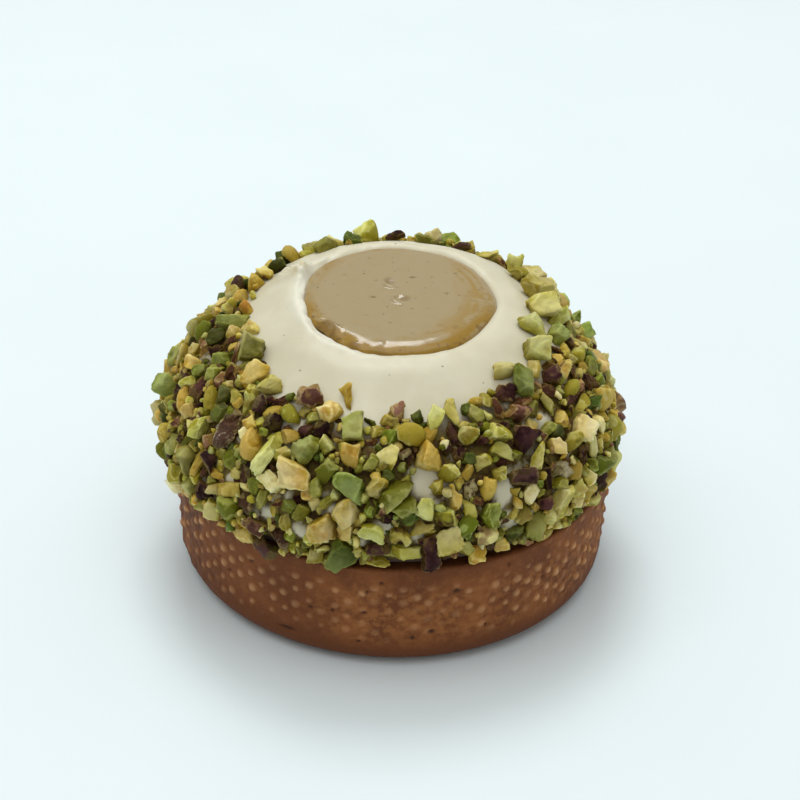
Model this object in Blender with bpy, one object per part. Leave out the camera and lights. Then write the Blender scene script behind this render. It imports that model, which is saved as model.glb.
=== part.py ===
"""Pistachio tart: a baked shell, a mousse dome set with chopped nuts, and a praline pool."""
import math
import random

import bmesh
import bpy
from mathutils import Matrix, Vector

# Driving dimensions, in metres: the baked shell
SHELL_RADIUS = 0.0375
SHELL_HEIGHT = 0.0200
SHELL_FLARE = math.radians(1.0)
SHELL_FOOT_ROUND = 0.0045
RIM_ROUND = 0.0008
RIM_CRUMBLE = 0.00018

# The mousse dome, widest at its waist and drawn in to a foot on the shell
GAP = 0.0003
DOME_RADIUS = 0.0380
DOME_FOOT_RADIUS = 0.0350
DOME_WAIST_HEIGHT = 0.0250
DOME_RISE = 0.0270
DOME_FULLNESS = 1.9
DOME_BASE_HEIGHT = SHELL_HEIGHT + GAP

# The lip round the well, and the well that holds the praline
WELL_RADIUS = 0.0162
WELL_FLOOR_HEIGHT = 0.0425
WELL_EDGE_HEIGHT = 0.0472
LIP_WIDTH = 0.0015
LIP_HEIGHT = 0.00115
WELL_FULLNESS = 3.4

# The praline, filled to the lip with a rounded edge
POOL_EDGE_ROUND = 0.0017
POOL_CROWN = 0.0009

# How far the soft top has settled to one side and leans to the front
DOME_SHIFT = -0.00085
POOL_SHIFT = 0.0003
LEAN = math.radians(4.5)
LEAN_FROM_HEIGHT = 0.030
LEAN_FULL_HEIGHT = 0.042

# The chopped pistachios on the dome's side
NUT_SEED = 2207
NUT_COUNT = 302
NUT_TRIES = 24
NUT_LARGEST = 0.0066
NUT_SMALLEST = 0.0037
NUT_EDGE_RADIUS = 0.0252
NUT_EDGE_FRONT = 0.0014
NUT_EDGE_WAVE = 0.0008
NUT_FLOOR_HEIGHT = SHELL_HEIGHT + GAP
NUT_FLOOR_SPREAD = 0.0004

# How finely the turned pieces are divided, and the shortest edge left by the union
SMALLEST_EDGE = 0.000002
SHELL_SEGMENTS = 64
DOME_SEGMENTS = 40
POOL_SEGMENTS = 40

MATERIALS = {
    "crust": ((0.118, 0.048, 0.022, 1.0), 0.85),
    "mousse": ((0.66, 0.60, 0.42, 1.0), 0.45),
    "praline": ((0.40, 0.29, 0.14, 1.0), 0.25),
}


def clear_scene():
    """Removes everything that the file starts with."""
    for item in list(bpy.data.objects):
        bpy.data.objects.remove(item, do_unlink=True)


def make_material(name):
    """A plain Principled material in the piece's colour."""
    colour, roughness = MATERIALS[name]
    material = bpy.data.materials.new(name)
    material.use_nodes = True
    shader = material.node_tree.nodes["Principled BSDF"]
    shader.inputs["Base Color"].default_value = colour
    shader.inputs["Roughness"].default_value = roughness
    shader.inputs["Metallic"].default_value = 0.0
    return material


def smooth_step(low, high, value):
    """Rises smoothly from 0 at low to 1 at high."""
    share = min(max((value - low) / (high - low), 0.0), 1.0)
    return share * share * (3.0 - 2.0 * share)


def settle(point):
    """Moves a point of the true dome to where the soft dome has settled."""
    x, y, z = point
    lean = smooth_step(LEAN_FROM_HEIGHT, LEAN_FULL_HEIGHT, z)
    side = smooth_step(DOME_WAIST_HEIGHT + DOME_RISE / 2, WELL_EDGE_HEIGHT, z)
    shift = DOME_SHIFT + (POOL_SHIFT - DOME_SHIFT) * side
    return Vector((x + shift, y, z + y * math.tan(LEAN) * lean))


def turned_mesh(name, outline, segments, place):
    """Turns an outline of (radius, height) about Z; the outline starts and ends on the axis."""
    mesh = bmesh.new()
    start = mesh.verts.new(place(outline[0][0], outline[0][1], 0.0))
    finish = mesh.verts.new(place(outline[-1][0], outline[-1][1], 0.0))
    rings = []
    for radius, height in outline[1:-1]:
        ring = []
        for step in range(segments):
            ring.append(mesh.verts.new(place(radius, height, 2 * math.pi * step / segments)))
        rings.append(ring)
    for step in range(segments):
        after = (step + 1) % segments
        mesh.faces.new((start, rings[0][after], rings[0][step]))
        mesh.faces.new((finish, rings[-1][step], rings[-1][after]))
        for lower, upper in zip(rings, rings[1:]):
            mesh.faces.new((lower[step], lower[after], upper[after], upper[step]))
    bmesh.ops.triangulate(mesh, faces=list(mesh.faces))
    bmesh.ops.recalc_face_normals(mesh, faces=list(mesh.faces))
    data = bpy.data.meshes.new(name)
    mesh.to_mesh(data)
    mesh.free()
    return data


def add_object(name, data, material):
    """Links a mesh as a named object and shades it smooth with its edges kept."""
    item = bpy.data.objects.new(name, data)
    bpy.context.scene.collection.objects.link(item)
    data.materials.clear()
    data.materials.append(material)
    data.shade_smooth()
    data.set_sharp_from_angle(angle=math.radians(35))
    return item


def shell_outline():
    """The shell from the middle of its underside to the middle of its top."""
    flare = math.tan(SHELL_FLARE)

    def wall(height):
        return SHELL_RADIUS + flare * (height - SHELL_HEIGHT)

    points = [(0.0, 0.0), (SHELL_RADIUS / 2, 0.0)]
    foot_steps = 4
    for step in range(foot_steps + 1):
        turn = math.radians(90) * step / foot_steps
        radius = wall(SHELL_FOOT_ROUND) - SHELL_FOOT_ROUND * (1 - math.sin(turn))
        points.append((radius, SHELL_FOOT_ROUND * (1 - math.cos(turn))))
    for share in (0.4, 0.75):
        height = SHELL_FOOT_ROUND + share * (SHELL_HEIGHT - SHELL_FOOT_ROUND)
        points.append((wall(height), height))
    points.append((SHELL_RADIUS, SHELL_HEIGHT - RIM_ROUND))
    points.append((SHELL_RADIUS - 0.3 * RIM_ROUND, SHELL_HEIGHT - 0.3 * RIM_ROUND))
    points.append((SHELL_RADIUS - RIM_ROUND, SHELL_HEIGHT))
    points.append((0.0, SHELL_HEIGHT))
    return points


def make_shell():
    """The baked shell, round at its foot and a little crumbled at its rim."""
    def place(radius, height, angle):
        rim = smooth_step(0.5 * SHELL_HEIGHT, SHELL_HEIGHT, height) if radius > 0.9 * SHELL_RADIUS else 0.0
        bite = math.sin(17 * angle) + math.sin(29 * angle + 1.3) + math.sin(41 * angle + 0.4)
        reach = radius - rim * RIM_CRUMBLE * (1 + bite / 3)
        return Vector((reach * math.cos(angle), reach * math.sin(angle), height))

    data = turned_mesh("tart_shell", shell_outline(), SHELL_SEGMENTS, place)
    return add_object("tart_shell", data, make_material("crust"))


def dome_point(turn):
    """Radius and height of the dome's side: turn is -90 at the foot, 0 at the waist, 90 on top."""
    across = max(math.cos(turn), 0.0)
    if turn < 0:
        radius = DOME_FOOT_RADIUS + (DOME_RADIUS - DOME_FOOT_RADIUS) * across
        return radius, DOME_WAIST_HEIGHT + (DOME_WAIST_HEIGHT - DOME_BASE_HEIGHT) * math.sin(turn)
    power = 2 / DOME_FULLNESS
    return DOME_RADIUS * across ** power, DOME_WAIST_HEIGHT + DOME_RISE * math.sin(turn) ** power


def dome_top_turn():
    """The turn at which the dome's side meets the lip."""
    lip_radius = WELL_RADIUS + LIP_WIDTH
    return math.acos((lip_radius / DOME_RADIUS) ** (DOME_FULLNESS / 2))


def bowl_outline(radius, edge_height, floor_height, steps):
    """A steep-sided round bowl, from just under its edge to its middle."""
    points = []
    power = 2 / WELL_FULLNESS
    for step in range(1, steps):
        turn = math.radians(90) * step / steps
        points.append((radius * math.cos(turn) ** power,
                       edge_height - (edge_height - floor_height) * math.sin(turn) ** power))
    points.append((0.0, floor_height))
    return points


def dome_outline():
    """The mousse from the middle of its underside, up its side, over the lip and into the well."""
    points = [(0.0, DOME_BASE_HEIGHT), (DOME_FOOT_RADIUS, DOME_BASE_HEIGHT)]
    for degrees in (-60, -28, 8, 26, 38, 49):
        points.append(dome_point(math.radians(degrees)))
    side_end = dome_point(dome_top_turn())
    lip_top = WELL_EDGE_HEIGHT + LIP_HEIGHT
    points.append((side_end[0] + LIP_WIDTH, dome_point(dome_top_turn() - math.radians(4))[1]))
    lip_steps = 4
    for step in range(lip_steps + 1):
        turn = math.radians(90) * step / lip_steps
        points.append((WELL_RADIUS + LIP_WIDTH * (1 - math.sin(turn)),
                       lip_top - LIP_HEIGHT * (1 - math.cos(turn))))
    return points + bowl_outline(WELL_RADIUS, WELL_EDGE_HEIGHT, WELL_FLOOR_HEIGHT, 4)


def round_place(radius, height, angle):
    """A point of a turned piece, settled with the dome."""
    return settle((radius * math.cos(angle), radius * math.sin(angle), height))


def nut_edge_radius(angle):
    """How far from the axis the nuts begin, further out at the front."""
    front = -math.sin(angle)
    return NUT_EDGE_RADIUS + NUT_EDGE_FRONT * front + NUT_EDGE_WAVE * math.sin(3 * angle + 1.0)


def surface_frame(turn, angle):
    """The dome's surface point with its outward normal and its two directions along the surface."""
    step = 0.01
    radius, height = dome_point(turn)
    centre = round_place(radius, height, angle)
    round_way = (round_place(radius, height, angle + step) - centre).normalized()
    other_radius, other_height = dome_point(turn + step)
    up_way = (round_place(other_radius, other_height, angle) - centre).normalized()
    normal = round_way.cross(up_way).normalized()
    return centre, round_way, normal.cross(round_way), normal


def nut_spots():
    """Spreads the nuts evenly, the largest first, each at the freest of a few drawn places."""
    draw = random.Random(NUT_SEED)
    top = math.radians(50)
    foot = math.radians(-62)
    spots = []
    for index in range(NUT_COUNT):
        share = index / (NUT_COUNT - 1)
        size = NUT_LARGEST + (NUT_SMALLEST - NUT_LARGEST) * share ** 0.5
        best = None
        tries = 0
        while tries < NUT_TRIES:
            turn = foot + (top - foot) * draw.random()
            angle = 2 * math.pi * draw.random()
            radius = dome_point(turn)[0]
            if draw.random() > radius / DOME_RADIUS or radius < nut_edge_radius(angle):
                continue
            tries += 1
            frame = surface_frame(turn, angle)
            room = min(((frame[0] - spot["frame"][0]).length - 0.4 * spot["size"] for spot in spots),
                       default=1.0)
            if best is None or room > best[0]:
                best = (room, frame)
        spots.append({"frame": best[1], "size": size})
    return spots, draw


def make_nut(name, spot, draw):
    """One chopped piece: the hull of a tapered box whose corners are drawn in unevenly."""
    centre, round_way, up_way, normal = spot["frame"]
    size = spot["size"]
    length = 0.5 * size * draw.uniform(0.85, 1.15)
    width = length * draw.uniform(0.62, 0.95)
    depth = length * draw.uniform(0.55, 0.85)
    taper = draw.uniform(0.35, 1.0)
    turn = Matrix.Rotation(2 * math.pi * draw.random(), 3, "Z")
    tip = Matrix.Rotation(math.radians(draw.uniform(-32, 32)), 3, "X")
    basis = Matrix((round_way, up_way, normal)).transposed()
    middle = centre + normal * depth * draw.uniform(0.25, 0.7)
    floor = NUT_FLOOR_HEIGHT + NUT_FLOOR_SPREAD * draw.random()
    mesh = bmesh.new()
    for corner in range(8):
        signs = [1 if corner >> bit & 1 else -1 for bit in range(3)]
        reach = [draw.uniform(0.5, 1.0) for bit in range(3)]
        slim = taper if signs[0] > 0 else 1.0
        local = Vector((signs[0] * reach[0] * length, signs[1] * reach[1] * width * slim,
                        signs[2] * reach[2] * depth * slim))
        point = middle + basis @ (turn @ (tip @ local))
        point.z = max(point.z, floor)
        mesh.verts.new(point)
    bmesh.ops.convex_hull(mesh, input=list(mesh.verts))
    loose = [vert for vert in mesh.verts if not vert.link_faces]
    bmesh.ops.delete(mesh, geom=loose, context="VERTS")
    bmesh.ops.recalc_face_normals(mesh, faces=list(mesh.faces))
    data = bpy.data.meshes.new(name)
    mesh.to_mesh(data)
    mesh.free()
    return bpy.data.objects.new(name, data)


def keep_main_body(data):
    """Keeps the largest connected body, so loose scraps and sealed hollows go."""
    mesh = bmesh.new()
    mesh.from_mesh(data)
    bmesh.ops.triangulate(mesh, faces=list(mesh.faces))
    bmesh.ops.remove_doubles(mesh, verts=list(mesh.verts), dist=SMALLEST_EDGE)
    bmesh.ops.dissolve_degenerate(mesh, edges=list(mesh.edges), dist=SMALLEST_EDGE)
    bmesh.ops.triangulate(mesh, faces=list(mesh.faces))
    waiting = set(mesh.verts)
    bodies = []
    while waiting:
        body = [waiting.pop()]
        for vert in body:
            for edge in vert.link_edges:
                other = edge.other_vert(vert)
                if other in waiting:
                    waiting.remove(other)
                    body.append(other)
        bodies.append(body)
    bodies.sort(key=len)
    for body in bodies[:-1]:
        bmesh.ops.delete(mesh, geom=body, context="VERTS")
    mesh.to_mesh(data)
    mesh.free()


def make_mousse():
    """The mousse dome with the chopped nuts fused on by one Boolean union."""
    data = turned_mesh("mousse", dome_outline(), DOME_SEGMENTS, round_place)
    dome = add_object("mousse", data, make_material("mousse"))
    nuts = bpy.data.collections.new("nuts")
    bpy.context.scene.collection.children.link(nuts)
    spots, draw = nut_spots()
    for index, spot in enumerate(spots):
        nut = make_nut(f"nut_{index:03d}", spot, draw)
        nut.hide_render = True
        nut.display_type = "WIRE"
        nuts.objects.link(nut)
    union = dome.modifiers.new("nuts", "BOOLEAN")
    union.operation = "UNION"
    union.operand_type = "COLLECTION"
    union.collection = nuts
    union.solver = "EXACT"
    bpy.context.view_layer.update()
    seen = dome.evaluated_get(bpy.context.evaluated_depsgraph_get())
    joined = bpy.data.meshes.new_from_object(seen)
    dome.modifiers.clear()
    dome.data = joined
    for nut in list(nuts.objects):
        bpy.data.objects.remove(nut, do_unlink=True)
    bpy.data.collections.remove(nuts)
    keep_main_body(joined)
    joined.shade_smooth()
    joined.set_sharp_from_angle(angle=math.radians(35))
    return dome


def make_praline():
    """The praline pool, which fills the well up to the level that shows."""
    radius = WELL_RADIUS - GAP
    points = [(0.0, WELL_EDGE_HEIGHT + POOL_CROWN)]
    edge_steps = 4
    for step in range(edge_steps + 1):
        turn = math.radians(90) * step / edge_steps
        points.append((radius - POOL_EDGE_ROUND * (1 - math.sin(turn)),
                       WELL_EDGE_HEIGHT + POOL_CROWN * math.cos(turn)))
    points += bowl_outline(radius, WELL_EDGE_HEIGHT, WELL_FLOOR_HEIGHT + GAP, 4)
    points.reverse()
    data = turned_mesh("praline", points, POOL_SEGMENTS, round_place)
    return add_object("praline", data, make_material("praline"))


def main():
    """Builds the tart, standing on the middle of its underside."""
    clear_scene()
    make_shell()
    make_mousse()
    make_praline()


main()
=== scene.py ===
"""Looks of the pistachio tart: baked shell, mousse dome, praline pool and chopped pistachios."""
import math
import random
from collections import namedtuple

import bmesh
import bpy
import numpy as np
from mathutils import Matrix, Vector


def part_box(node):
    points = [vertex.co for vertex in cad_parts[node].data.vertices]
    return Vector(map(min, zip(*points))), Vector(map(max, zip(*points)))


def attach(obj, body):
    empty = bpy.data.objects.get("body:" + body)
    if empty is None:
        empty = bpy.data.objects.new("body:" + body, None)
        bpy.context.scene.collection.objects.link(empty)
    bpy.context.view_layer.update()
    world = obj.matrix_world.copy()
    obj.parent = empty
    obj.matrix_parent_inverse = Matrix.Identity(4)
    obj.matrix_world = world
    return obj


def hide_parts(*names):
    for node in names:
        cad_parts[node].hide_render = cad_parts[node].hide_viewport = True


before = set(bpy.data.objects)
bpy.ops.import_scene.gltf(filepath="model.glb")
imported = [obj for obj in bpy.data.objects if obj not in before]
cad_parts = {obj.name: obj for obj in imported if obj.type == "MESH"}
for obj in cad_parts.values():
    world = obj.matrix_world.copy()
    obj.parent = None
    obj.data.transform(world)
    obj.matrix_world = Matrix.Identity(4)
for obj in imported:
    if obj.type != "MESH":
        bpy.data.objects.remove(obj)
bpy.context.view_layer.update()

# The frame's sizes
SHELL_LOW, SHELL_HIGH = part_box("tart_shell")
SHELL_RADIUS = (SHELL_HIGH.x - SHELL_LOW.x) / 2
SHELL_HEIGHT = SHELL_HIGH.z
DOME_BASE_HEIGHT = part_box("mousse")[0].z

# The camera, as the photograph was taken, in pixels of its square frame
PHOTO_SIDE = 800
FOCAL_PX = 2000
SENSOR_MM = 36
CAMERA_DISTANCE = 0.3435
CAMERA_ELEVATION = math.radians(31.14)
CAMERA_ROLL = math.radians(1.83)
CAMERA_TARGET = Vector((0.0008, 0.0, 0.02882))
METRES_PER_PX = CAMERA_DISTANCE / FOCAL_PX

# The shell's form, as in the solid
SHELL_FLARE = math.radians(1.0)
SHELL_FOOT_ROUND = 0.0045
RIM_ROUND = 0.0008

# The dome's form, as in the solid
DOME_RADIUS = 0.0380
DOME_FOOT_RADIUS = 0.0350
DOME_WAIST_HEIGHT = 0.0250
DOME_RISE = 0.0270
DOME_FULLNESS = 1.9
WELL_RADIUS = 0.0159
WELL_FLOOR_HEIGHT = 0.0425
WELL_EDGE_HEIGHT = 0.0472
WELL_FULLNESS = 3.4
LIP_WIDTH = 0.0015
LIP_HEIGHT = 0.00115
POOL_EDGE_ROUND = 0.0034
POOL_CROWN = 0.0015
POOL_BITE = 0.0002
DOME_SHIFT = -0.00085
POOL_SHIFT = 0.00005
POOL_BACK = 0.0010
BACK_SAG = 0.0006
LEAN = math.radians(4.5)
LEAN_FROM_HEIGHT = 0.034
LEAN_FULL_HEIGHT = 0.0465


# Small numeric helpers

def smooth_step(low, high, value):
    """Rises smoothly from 0 at low to 1 at high."""
    share = np.clip((np.asarray(value, float) - low) / (high - low), 0.0, 1.0)
    return share * share * (3.0 - 2.0 * share)


def towards(angles, degrees, low, high):
    """Rises from 0 to 1 towards a direction, as the cosine of the angle to it goes from low to high."""
    return smooth_step(low, high, np.cos(angles - math.radians(degrees)))


def hump(away, width, power=2):
    """Falls from 1 to 0 as away passes the width."""
    return np.exp(-np.abs(away / width) ** power)


def hash_unit(cells, seed):
    """A repeatable number from 0 to 1 for each row of whole numbers."""
    total = np.full(cells.shape[:-1], seed * 374761393 % 2**32, np.uint64)
    for axis in range(cells.shape[-1]):
        total = (total ^ (cells[..., axis].astype(np.int64).astype(np.uint64) & 0xFFFFFFFF)) * 668265263
        total = (total & 0xFFFFFFFF) ^ ((total & 0xFFFFFFFF) >> 13)
    total = (total * 1274126177) & 0xFFFFFFFF
    return ((total ^ (total >> 16)) & 0xFFFFFF) / float(0x1000000)


def lattice_noise(points, scale, seed):
    """Smooth noise from -1 to 1 at each point, with lumps of the given scale."""
    spot = points / scale
    cell = np.floor(spot)
    part = spot - cell
    part = part * part * (3 - 2 * part)
    total = np.zeros(len(points))
    for corner in range(8):
        step = np.array([corner & 1, corner >> 1 & 1, corner >> 2 & 1])
        weight = np.prod(np.where(step, part, 1 - part), axis=1)
        total += weight * hash_unit(cell + step, seed)
    return 2 * total - 1


def lumps(field, layers):
    """The sum of layers of noise, each with its height, the size of its lumps and its seed."""
    return sum(height * field(size, seed) for height, size, seed in layers)


def settle(points):
    """Moves points of the true dome to where the soft dome has settled."""
    x, y, z = points[..., 0], points[..., 1], points[..., 2]
    lean = smooth_step(LEAN_FROM_HEIGHT, LEAN_FULL_HEIGHT, z)
    side = smooth_step(DOME_WAIST_HEIGHT + DOME_RISE / 2, WELL_EDGE_HEIGHT, z)
    shift = DOME_SHIFT + (POOL_SHIFT - DOME_SHIFT) * side
    sag = BACK_SAG * smooth_step(0.0150, 0.0220, y) * lean
    return np.stack([x + shift, y + POOL_BACK * side, z + y * math.tan(LEAN) * lean - sag], axis=-1)


# Turned grids, meshes and pieces

def turned_grid(rows, columns):
    """Points of a turned piece, the angle of each, and a function for noise at them."""
    radii, heights = np.array(rows).T
    turns = 2 * math.pi * np.arange(columns) / columns
    points = np.stack([np.outer(radii, np.cos(turns)), np.outer(radii, np.sin(turns)),
                       np.outer(heights, np.ones(columns))], axis=-1)
    angles = np.broadcast_to(turns, points.shape[:2])

    def field(size, seed):
        return lattice_noise(points.reshape(-1, 3), size, seed).reshape(angles.shape)

    return points, angles, field


def turned_normals(points):
    """Outward normals of a grid that closes round its columns."""
    along = np.gradient(points, axis=0)
    round_way = np.roll(points, -1, axis=1) - np.roll(points, 1, axis=1)
    normal = np.cross(round_way, along)
    return normal / np.maximum(np.linalg.norm(normal, axis=-1, keepdims=True), 1e-12)


def build_mesh(name, verts, triangles, marks):
    """A triangle mesh with a number on each vertex for every name in marks."""
    data = bpy.data.meshes.new(name)
    data.vertices.add(len(verts))
    data.vertices.foreach_set("co", np.asarray(verts, np.float32).ravel())
    data.loops.add(3 * len(triangles))
    data.loops.foreach_set("vertex_index", np.asarray(triangles, np.int32).ravel())
    data.polygons.add(len(triangles))
    data.polygons.foreach_set("loop_start", np.arange(0, 3 * len(triangles), 3, dtype=np.int32))
    data.update(calc_edges=True)
    data.validate()
    for mark, values in marks.items():
        layer = data.attributes.new(mark, "FLOAT", "POINT")
        layer.data.foreach_set("value", np.asarray(values, np.float32))
    data.shade_smooth()
    return data


def add_piece(name, data, material, nodes=()):
    """Links a piece that rides on the tart's one body and stands for the given nodes."""
    piece = bpy.data.objects.new(name, data)
    bpy.context.scene.collection.objects.link(piece)
    data.materials.append(material)
    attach(piece, "root")
    if nodes:
        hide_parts(*nodes)


def add_turned(name, points, marks, material, node):
    """Closes a turned grid at both ends and adds it as the piece that stands for its node."""
    rows, columns = points.shape[:2]
    verts = np.concatenate([points[0].mean(0)[None], points.reshape(-1, 3), points[-1].mean(0)[None]])
    index = 1 + np.arange(rows * columns).reshape(rows, columns)
    after = np.roll(index, -1, axis=1)
    first = np.stack([index[:-1], after[:-1], after[1:]], axis=-1).reshape(-1, 3)
    second = np.stack([index[:-1], after[1:], index[1:]], axis=-1).reshape(-1, 3)
    start = np.stack([np.zeros(columns, int), after[0], index[0]], axis=-1)
    finish = np.stack([np.full(columns, len(verts) - 1), index[-1], after[-1]], axis=-1)
    closed = {mark: np.concatenate([[values[0].mean()], values.ravel(), [values[-1].mean()]])
              for mark, values in marks.items()}
    data = build_mesh(name, verts, np.concatenate([first, second, start, finish]), closed)
    add_piece(name, data, material, [node])


# Materials

class Nodes:
    """Puts shader nodes into a tree. Each call gives the socket that comes out of its node."""

    def __init__(self, tree, place=None):
        self.tree = tree
        self.place = place

    def put(self, socket, value):
        """Sets a socket to a value, or links it to another socket."""
        if isinstance(value, bpy.types.NodeSocket):
            self.tree.links.new(value, socket)
        else:
            socket.default_value = value

    def add(self, kind, output, inputs, **settings):
        """Adds any node, with its settings first and then its inputs."""
        made = self.tree.nodes.new("ShaderNode" + kind)
        for name, value in settings.items():
            setattr(made, name, value)
        for name, value in inputs.items():
            self.put(made.inputs[name], value)
        return made.outputs[output]

    def noise(self, scale_mm, detail=2.0, roughness=0.5, distortion=0.0):
        """Noise with lumps of about the given size in millimetres, from 0 to 1."""
        inputs = {"Vector": self.place, "Scale": 1000.0 / scale_mm, "Detail": detail,
                  "Roughness": roughness, "Distortion": distortion}
        return self.add("TexNoise", "Fac", inputs)

    def cells(self, place, scale_mm):
        """Distance from the nearest of many scattered points, in cells of the given size."""
        return self.add("TexVoronoi", "Distance", {"Vector": place, "Scale": 1000.0 / scale_mm})

    def mark(self, name):
        """A number kept on the mesh."""
        return self.add("Attribute", "Fac", {}, attribute_name=name)

    def ramp(self, value, low, high, start=0.0, end=1.0):
        """Maps low to start and high to end, smoothly, and no further."""
        ends = {"From Min": low, "From Max": high, "To Min": start, "To Max": end}
        return self.add("MapRange", "Result", {"Value": value, **ends}, interpolation_type="SMOOTHSTEP")

    def times(self, first, second):
        """One value times another."""
        return self.add("Math", 0, {0: first, 1: second}, operation="MULTIPLY")

    def total(self, first, weight, second, other_weight):
        """The sum of two values, each times its weight."""
        parts = {0: self.times(first, weight), 1: self.times(second, other_weight)}
        return self.add("Math", 0, parts, operation="ADD")

    def blend(self, share, first, second, how="MIX"):
        """Mixes two colours."""
        first, second = [(*item, 1.0) if isinstance(item, tuple) else item for item in (first, second)]
        return self.add("Mix", 2, {0: share, 6: first, 7: second}, data_type="RGBA", blend_type=how)

    def coats(self, colour, *coats):
        """Lays coats over a colour, each with its share and its own colour."""
        for share, paint in coats:
            colour = self.blend(share, colour, paint)
        return colour


class Finish(Nodes):
    """A node material with its shader and its object coordinates in metres."""

    def __init__(self, name):
        self.material = bpy.data.materials.new(name)
        self.material.use_nodes = True
        super().__init__(self.material.node_tree)
        self.place = self.add("TexCoord", "Object", {})
        self.inputs = self.tree.nodes["Principled BSDF"].inputs

    def surface(self, colour, roughness, specular, under=0.0, under_mm=(1.0, 1.0, 1.0)):
        """Sets the shader's colour and gloss, and how far light spreads under the surface."""
        values = {"Base Color": colour, "Roughness": roughness, "Specular IOR Level": specular,
                  "Subsurface Weight": under, "Subsurface Scale": 0.001, "Subsurface Radius": under_mm}
        for name, value in values.items():
            self.put(self.inputs[name], value)

    def bump(self, height, depth_mm, strength):
        """Raises the surface by the height, from 0 to 1, times the depth."""
        sizes = {"Strength": strength, "Distance": depth_mm * 0.001, "Height": height}
        self.put(self.inputs["Normal"], self.add("Bump", "Normal", sizes))


CRUST_BROWN = (0.272, 0.089, 0.024)
CRUST_DEEP = (0.150, 0.046, 0.014)
CRUST_WARM = (0.356, 0.135, 0.038)
CRUST_DOT = (0.800, 0.440, 0.205)
CRUST_PIT_SHADE = (0.055, 0.020, 0.010)


def crust_material():
    """Baked cocoa-brown crust: mottled, with paler raised dots and a painted highlight on them at the left,
    painted shade in its pits and hollows, under its rim and at its left, and darker towards its foot.
    """
    made = Finish("baked_crust")
    broad = made.noise(9.0, 3.0, 0.6)
    mottle = made.noise(1.3, 4.0, 0.65)
    grain = made.noise(0.35, 3.0, 0.6)
    colour = made.coats(
        CRUST_DEEP,
        (made.ramp(broad, 0.35, 0.68), CRUST_BROWN),
        (made.ramp(mottle, 0.48, 0.72, 0.0, 0.4), CRUST_WARM),
        (made.ramp(mottle, 0.30, 0.44, 0.5, 0.0), CRUST_DEEP),
        (made.times(made.mark("blotch"), made.ramp(mottle, 0.40, 0.62)), CRUST_WARM),
        # Paler dots, brighter at the left as a painted highlight
        (made.times(made.mark("dot"), made.ramp(grain, 0.2, 0.6, 0.6, 1.0)), CRUST_DOT),
        # Darker towards the foot and in random patches, and painted shade under the rim and at the left
        # middle
        (made.mark("shade"), CRUST_DEEP),
        # Painted shade in the pits, slits and hollows, and in small scattered spots
        (made.mark("pit"), CRUST_PIT_SHADE),
        (made.ramp(made.cells(made.place, 1.6), 0.05, 0.11, 0.7, 0.0), CRUST_PIT_SHADE),
    )
    made.surface(colour, made.ramp(grain, 0.3, 0.7, 0.58, 0.8), 0.20)
    made.bump(made.total(mottle, 0.6, grain, 0.5), 0.20, 0.8)
    return made.material


MOUSSE_CREAM = (0.648, 0.605, 0.442)
MOUSSE_PALE = (0.694, 0.655, 0.494)
SHEEN_WHITE = (0.800, 0.780, 0.640)
CREASE_SHADE = (0.560, 0.460, 0.220)
MOUSSE_SPECK = (0.16, 0.115, 0.06)
CRUMB_SHADE_OLIVE = (0.165, 0.122, 0.020)
CRUMB_SHADE_BROWN = (0.096, 0.050, 0.014)
FOOT_SHADOW = (0.028, 0.012, 0.005)


def mousse_material():
    """Ivory mousse: satin, with fine vanilla specks, a painted sheen by the lip, painted shade in the torn
    lump's crevices, a painted shadow at its foot, and under the nuts a crumb stain that is also painted
    shade.
    """
    made = Finish("ivory_mousse")
    broad = made.noise(7.0)
    fine = made.noise(0.9, 3.0, 0.6)
    crumb_and_shade_bed = made.mark("crumb_and_shade_bed")
    speck = made.times(made.ramp(made.cells(made.place, 2.6), 0.045, 0.09, 0.85, 0.0),
                       made.ramp(made.noise(3.5, 1.0), 0.42, 0.56))
    bare = made.ramp(made.noise(4.5, 3.0, 0.6), 0.55, 0.62, 1.0, 0.45)
    colour = made.coats(
        MOUSSE_CREAM,
        (made.ramp(broad, 0.35, 0.65), MOUSSE_PALE),
        # Painted sheen by the lip
        (made.mark("painted_sheen"), SHEEN_WHITE),
        # Painted shade in the torn lump's crevices
        (made.times(made.mark("crease"), 0.6), CREASE_SHADE),
        (speck, MOUSSE_SPECK),
        # Crumb stain and painted shade between the nuts
        (made.times(crumb_and_shade_bed, bare), made.blend(made.ramp(made.noise(1.4), 0.42, 0.6), CRUMB_SHADE_BROWN, CRUMB_SHADE_OLIVE)),
        # Painted shadow at the dome's foot
        (made.mark("foot"), FOOT_SHADOW),
    )
    made.surface(colour, made.total(made.ramp(fine, 0.3, 0.7, 0.32, 0.42), 1.0, crumb_and_shade_bed, 0.45), 0.30,
                 0.35, (1.6, 1.4, 1.0))
    made.bump(made.total(fine, 0.15, broad, 1.0), 0.22, 0.5)
    return made.material


PRALINE_TAUPE = (0.374, 0.289, 0.145)
PRALINE_OCHRE = (0.325, 0.188, 0.017)
PRALINE_UMBER = (0.165, 0.088, 0.020)
STREAK_STRETCH = (0.45, 1.0, 1.0)
STREAK_TURN = math.radians(12)


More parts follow.
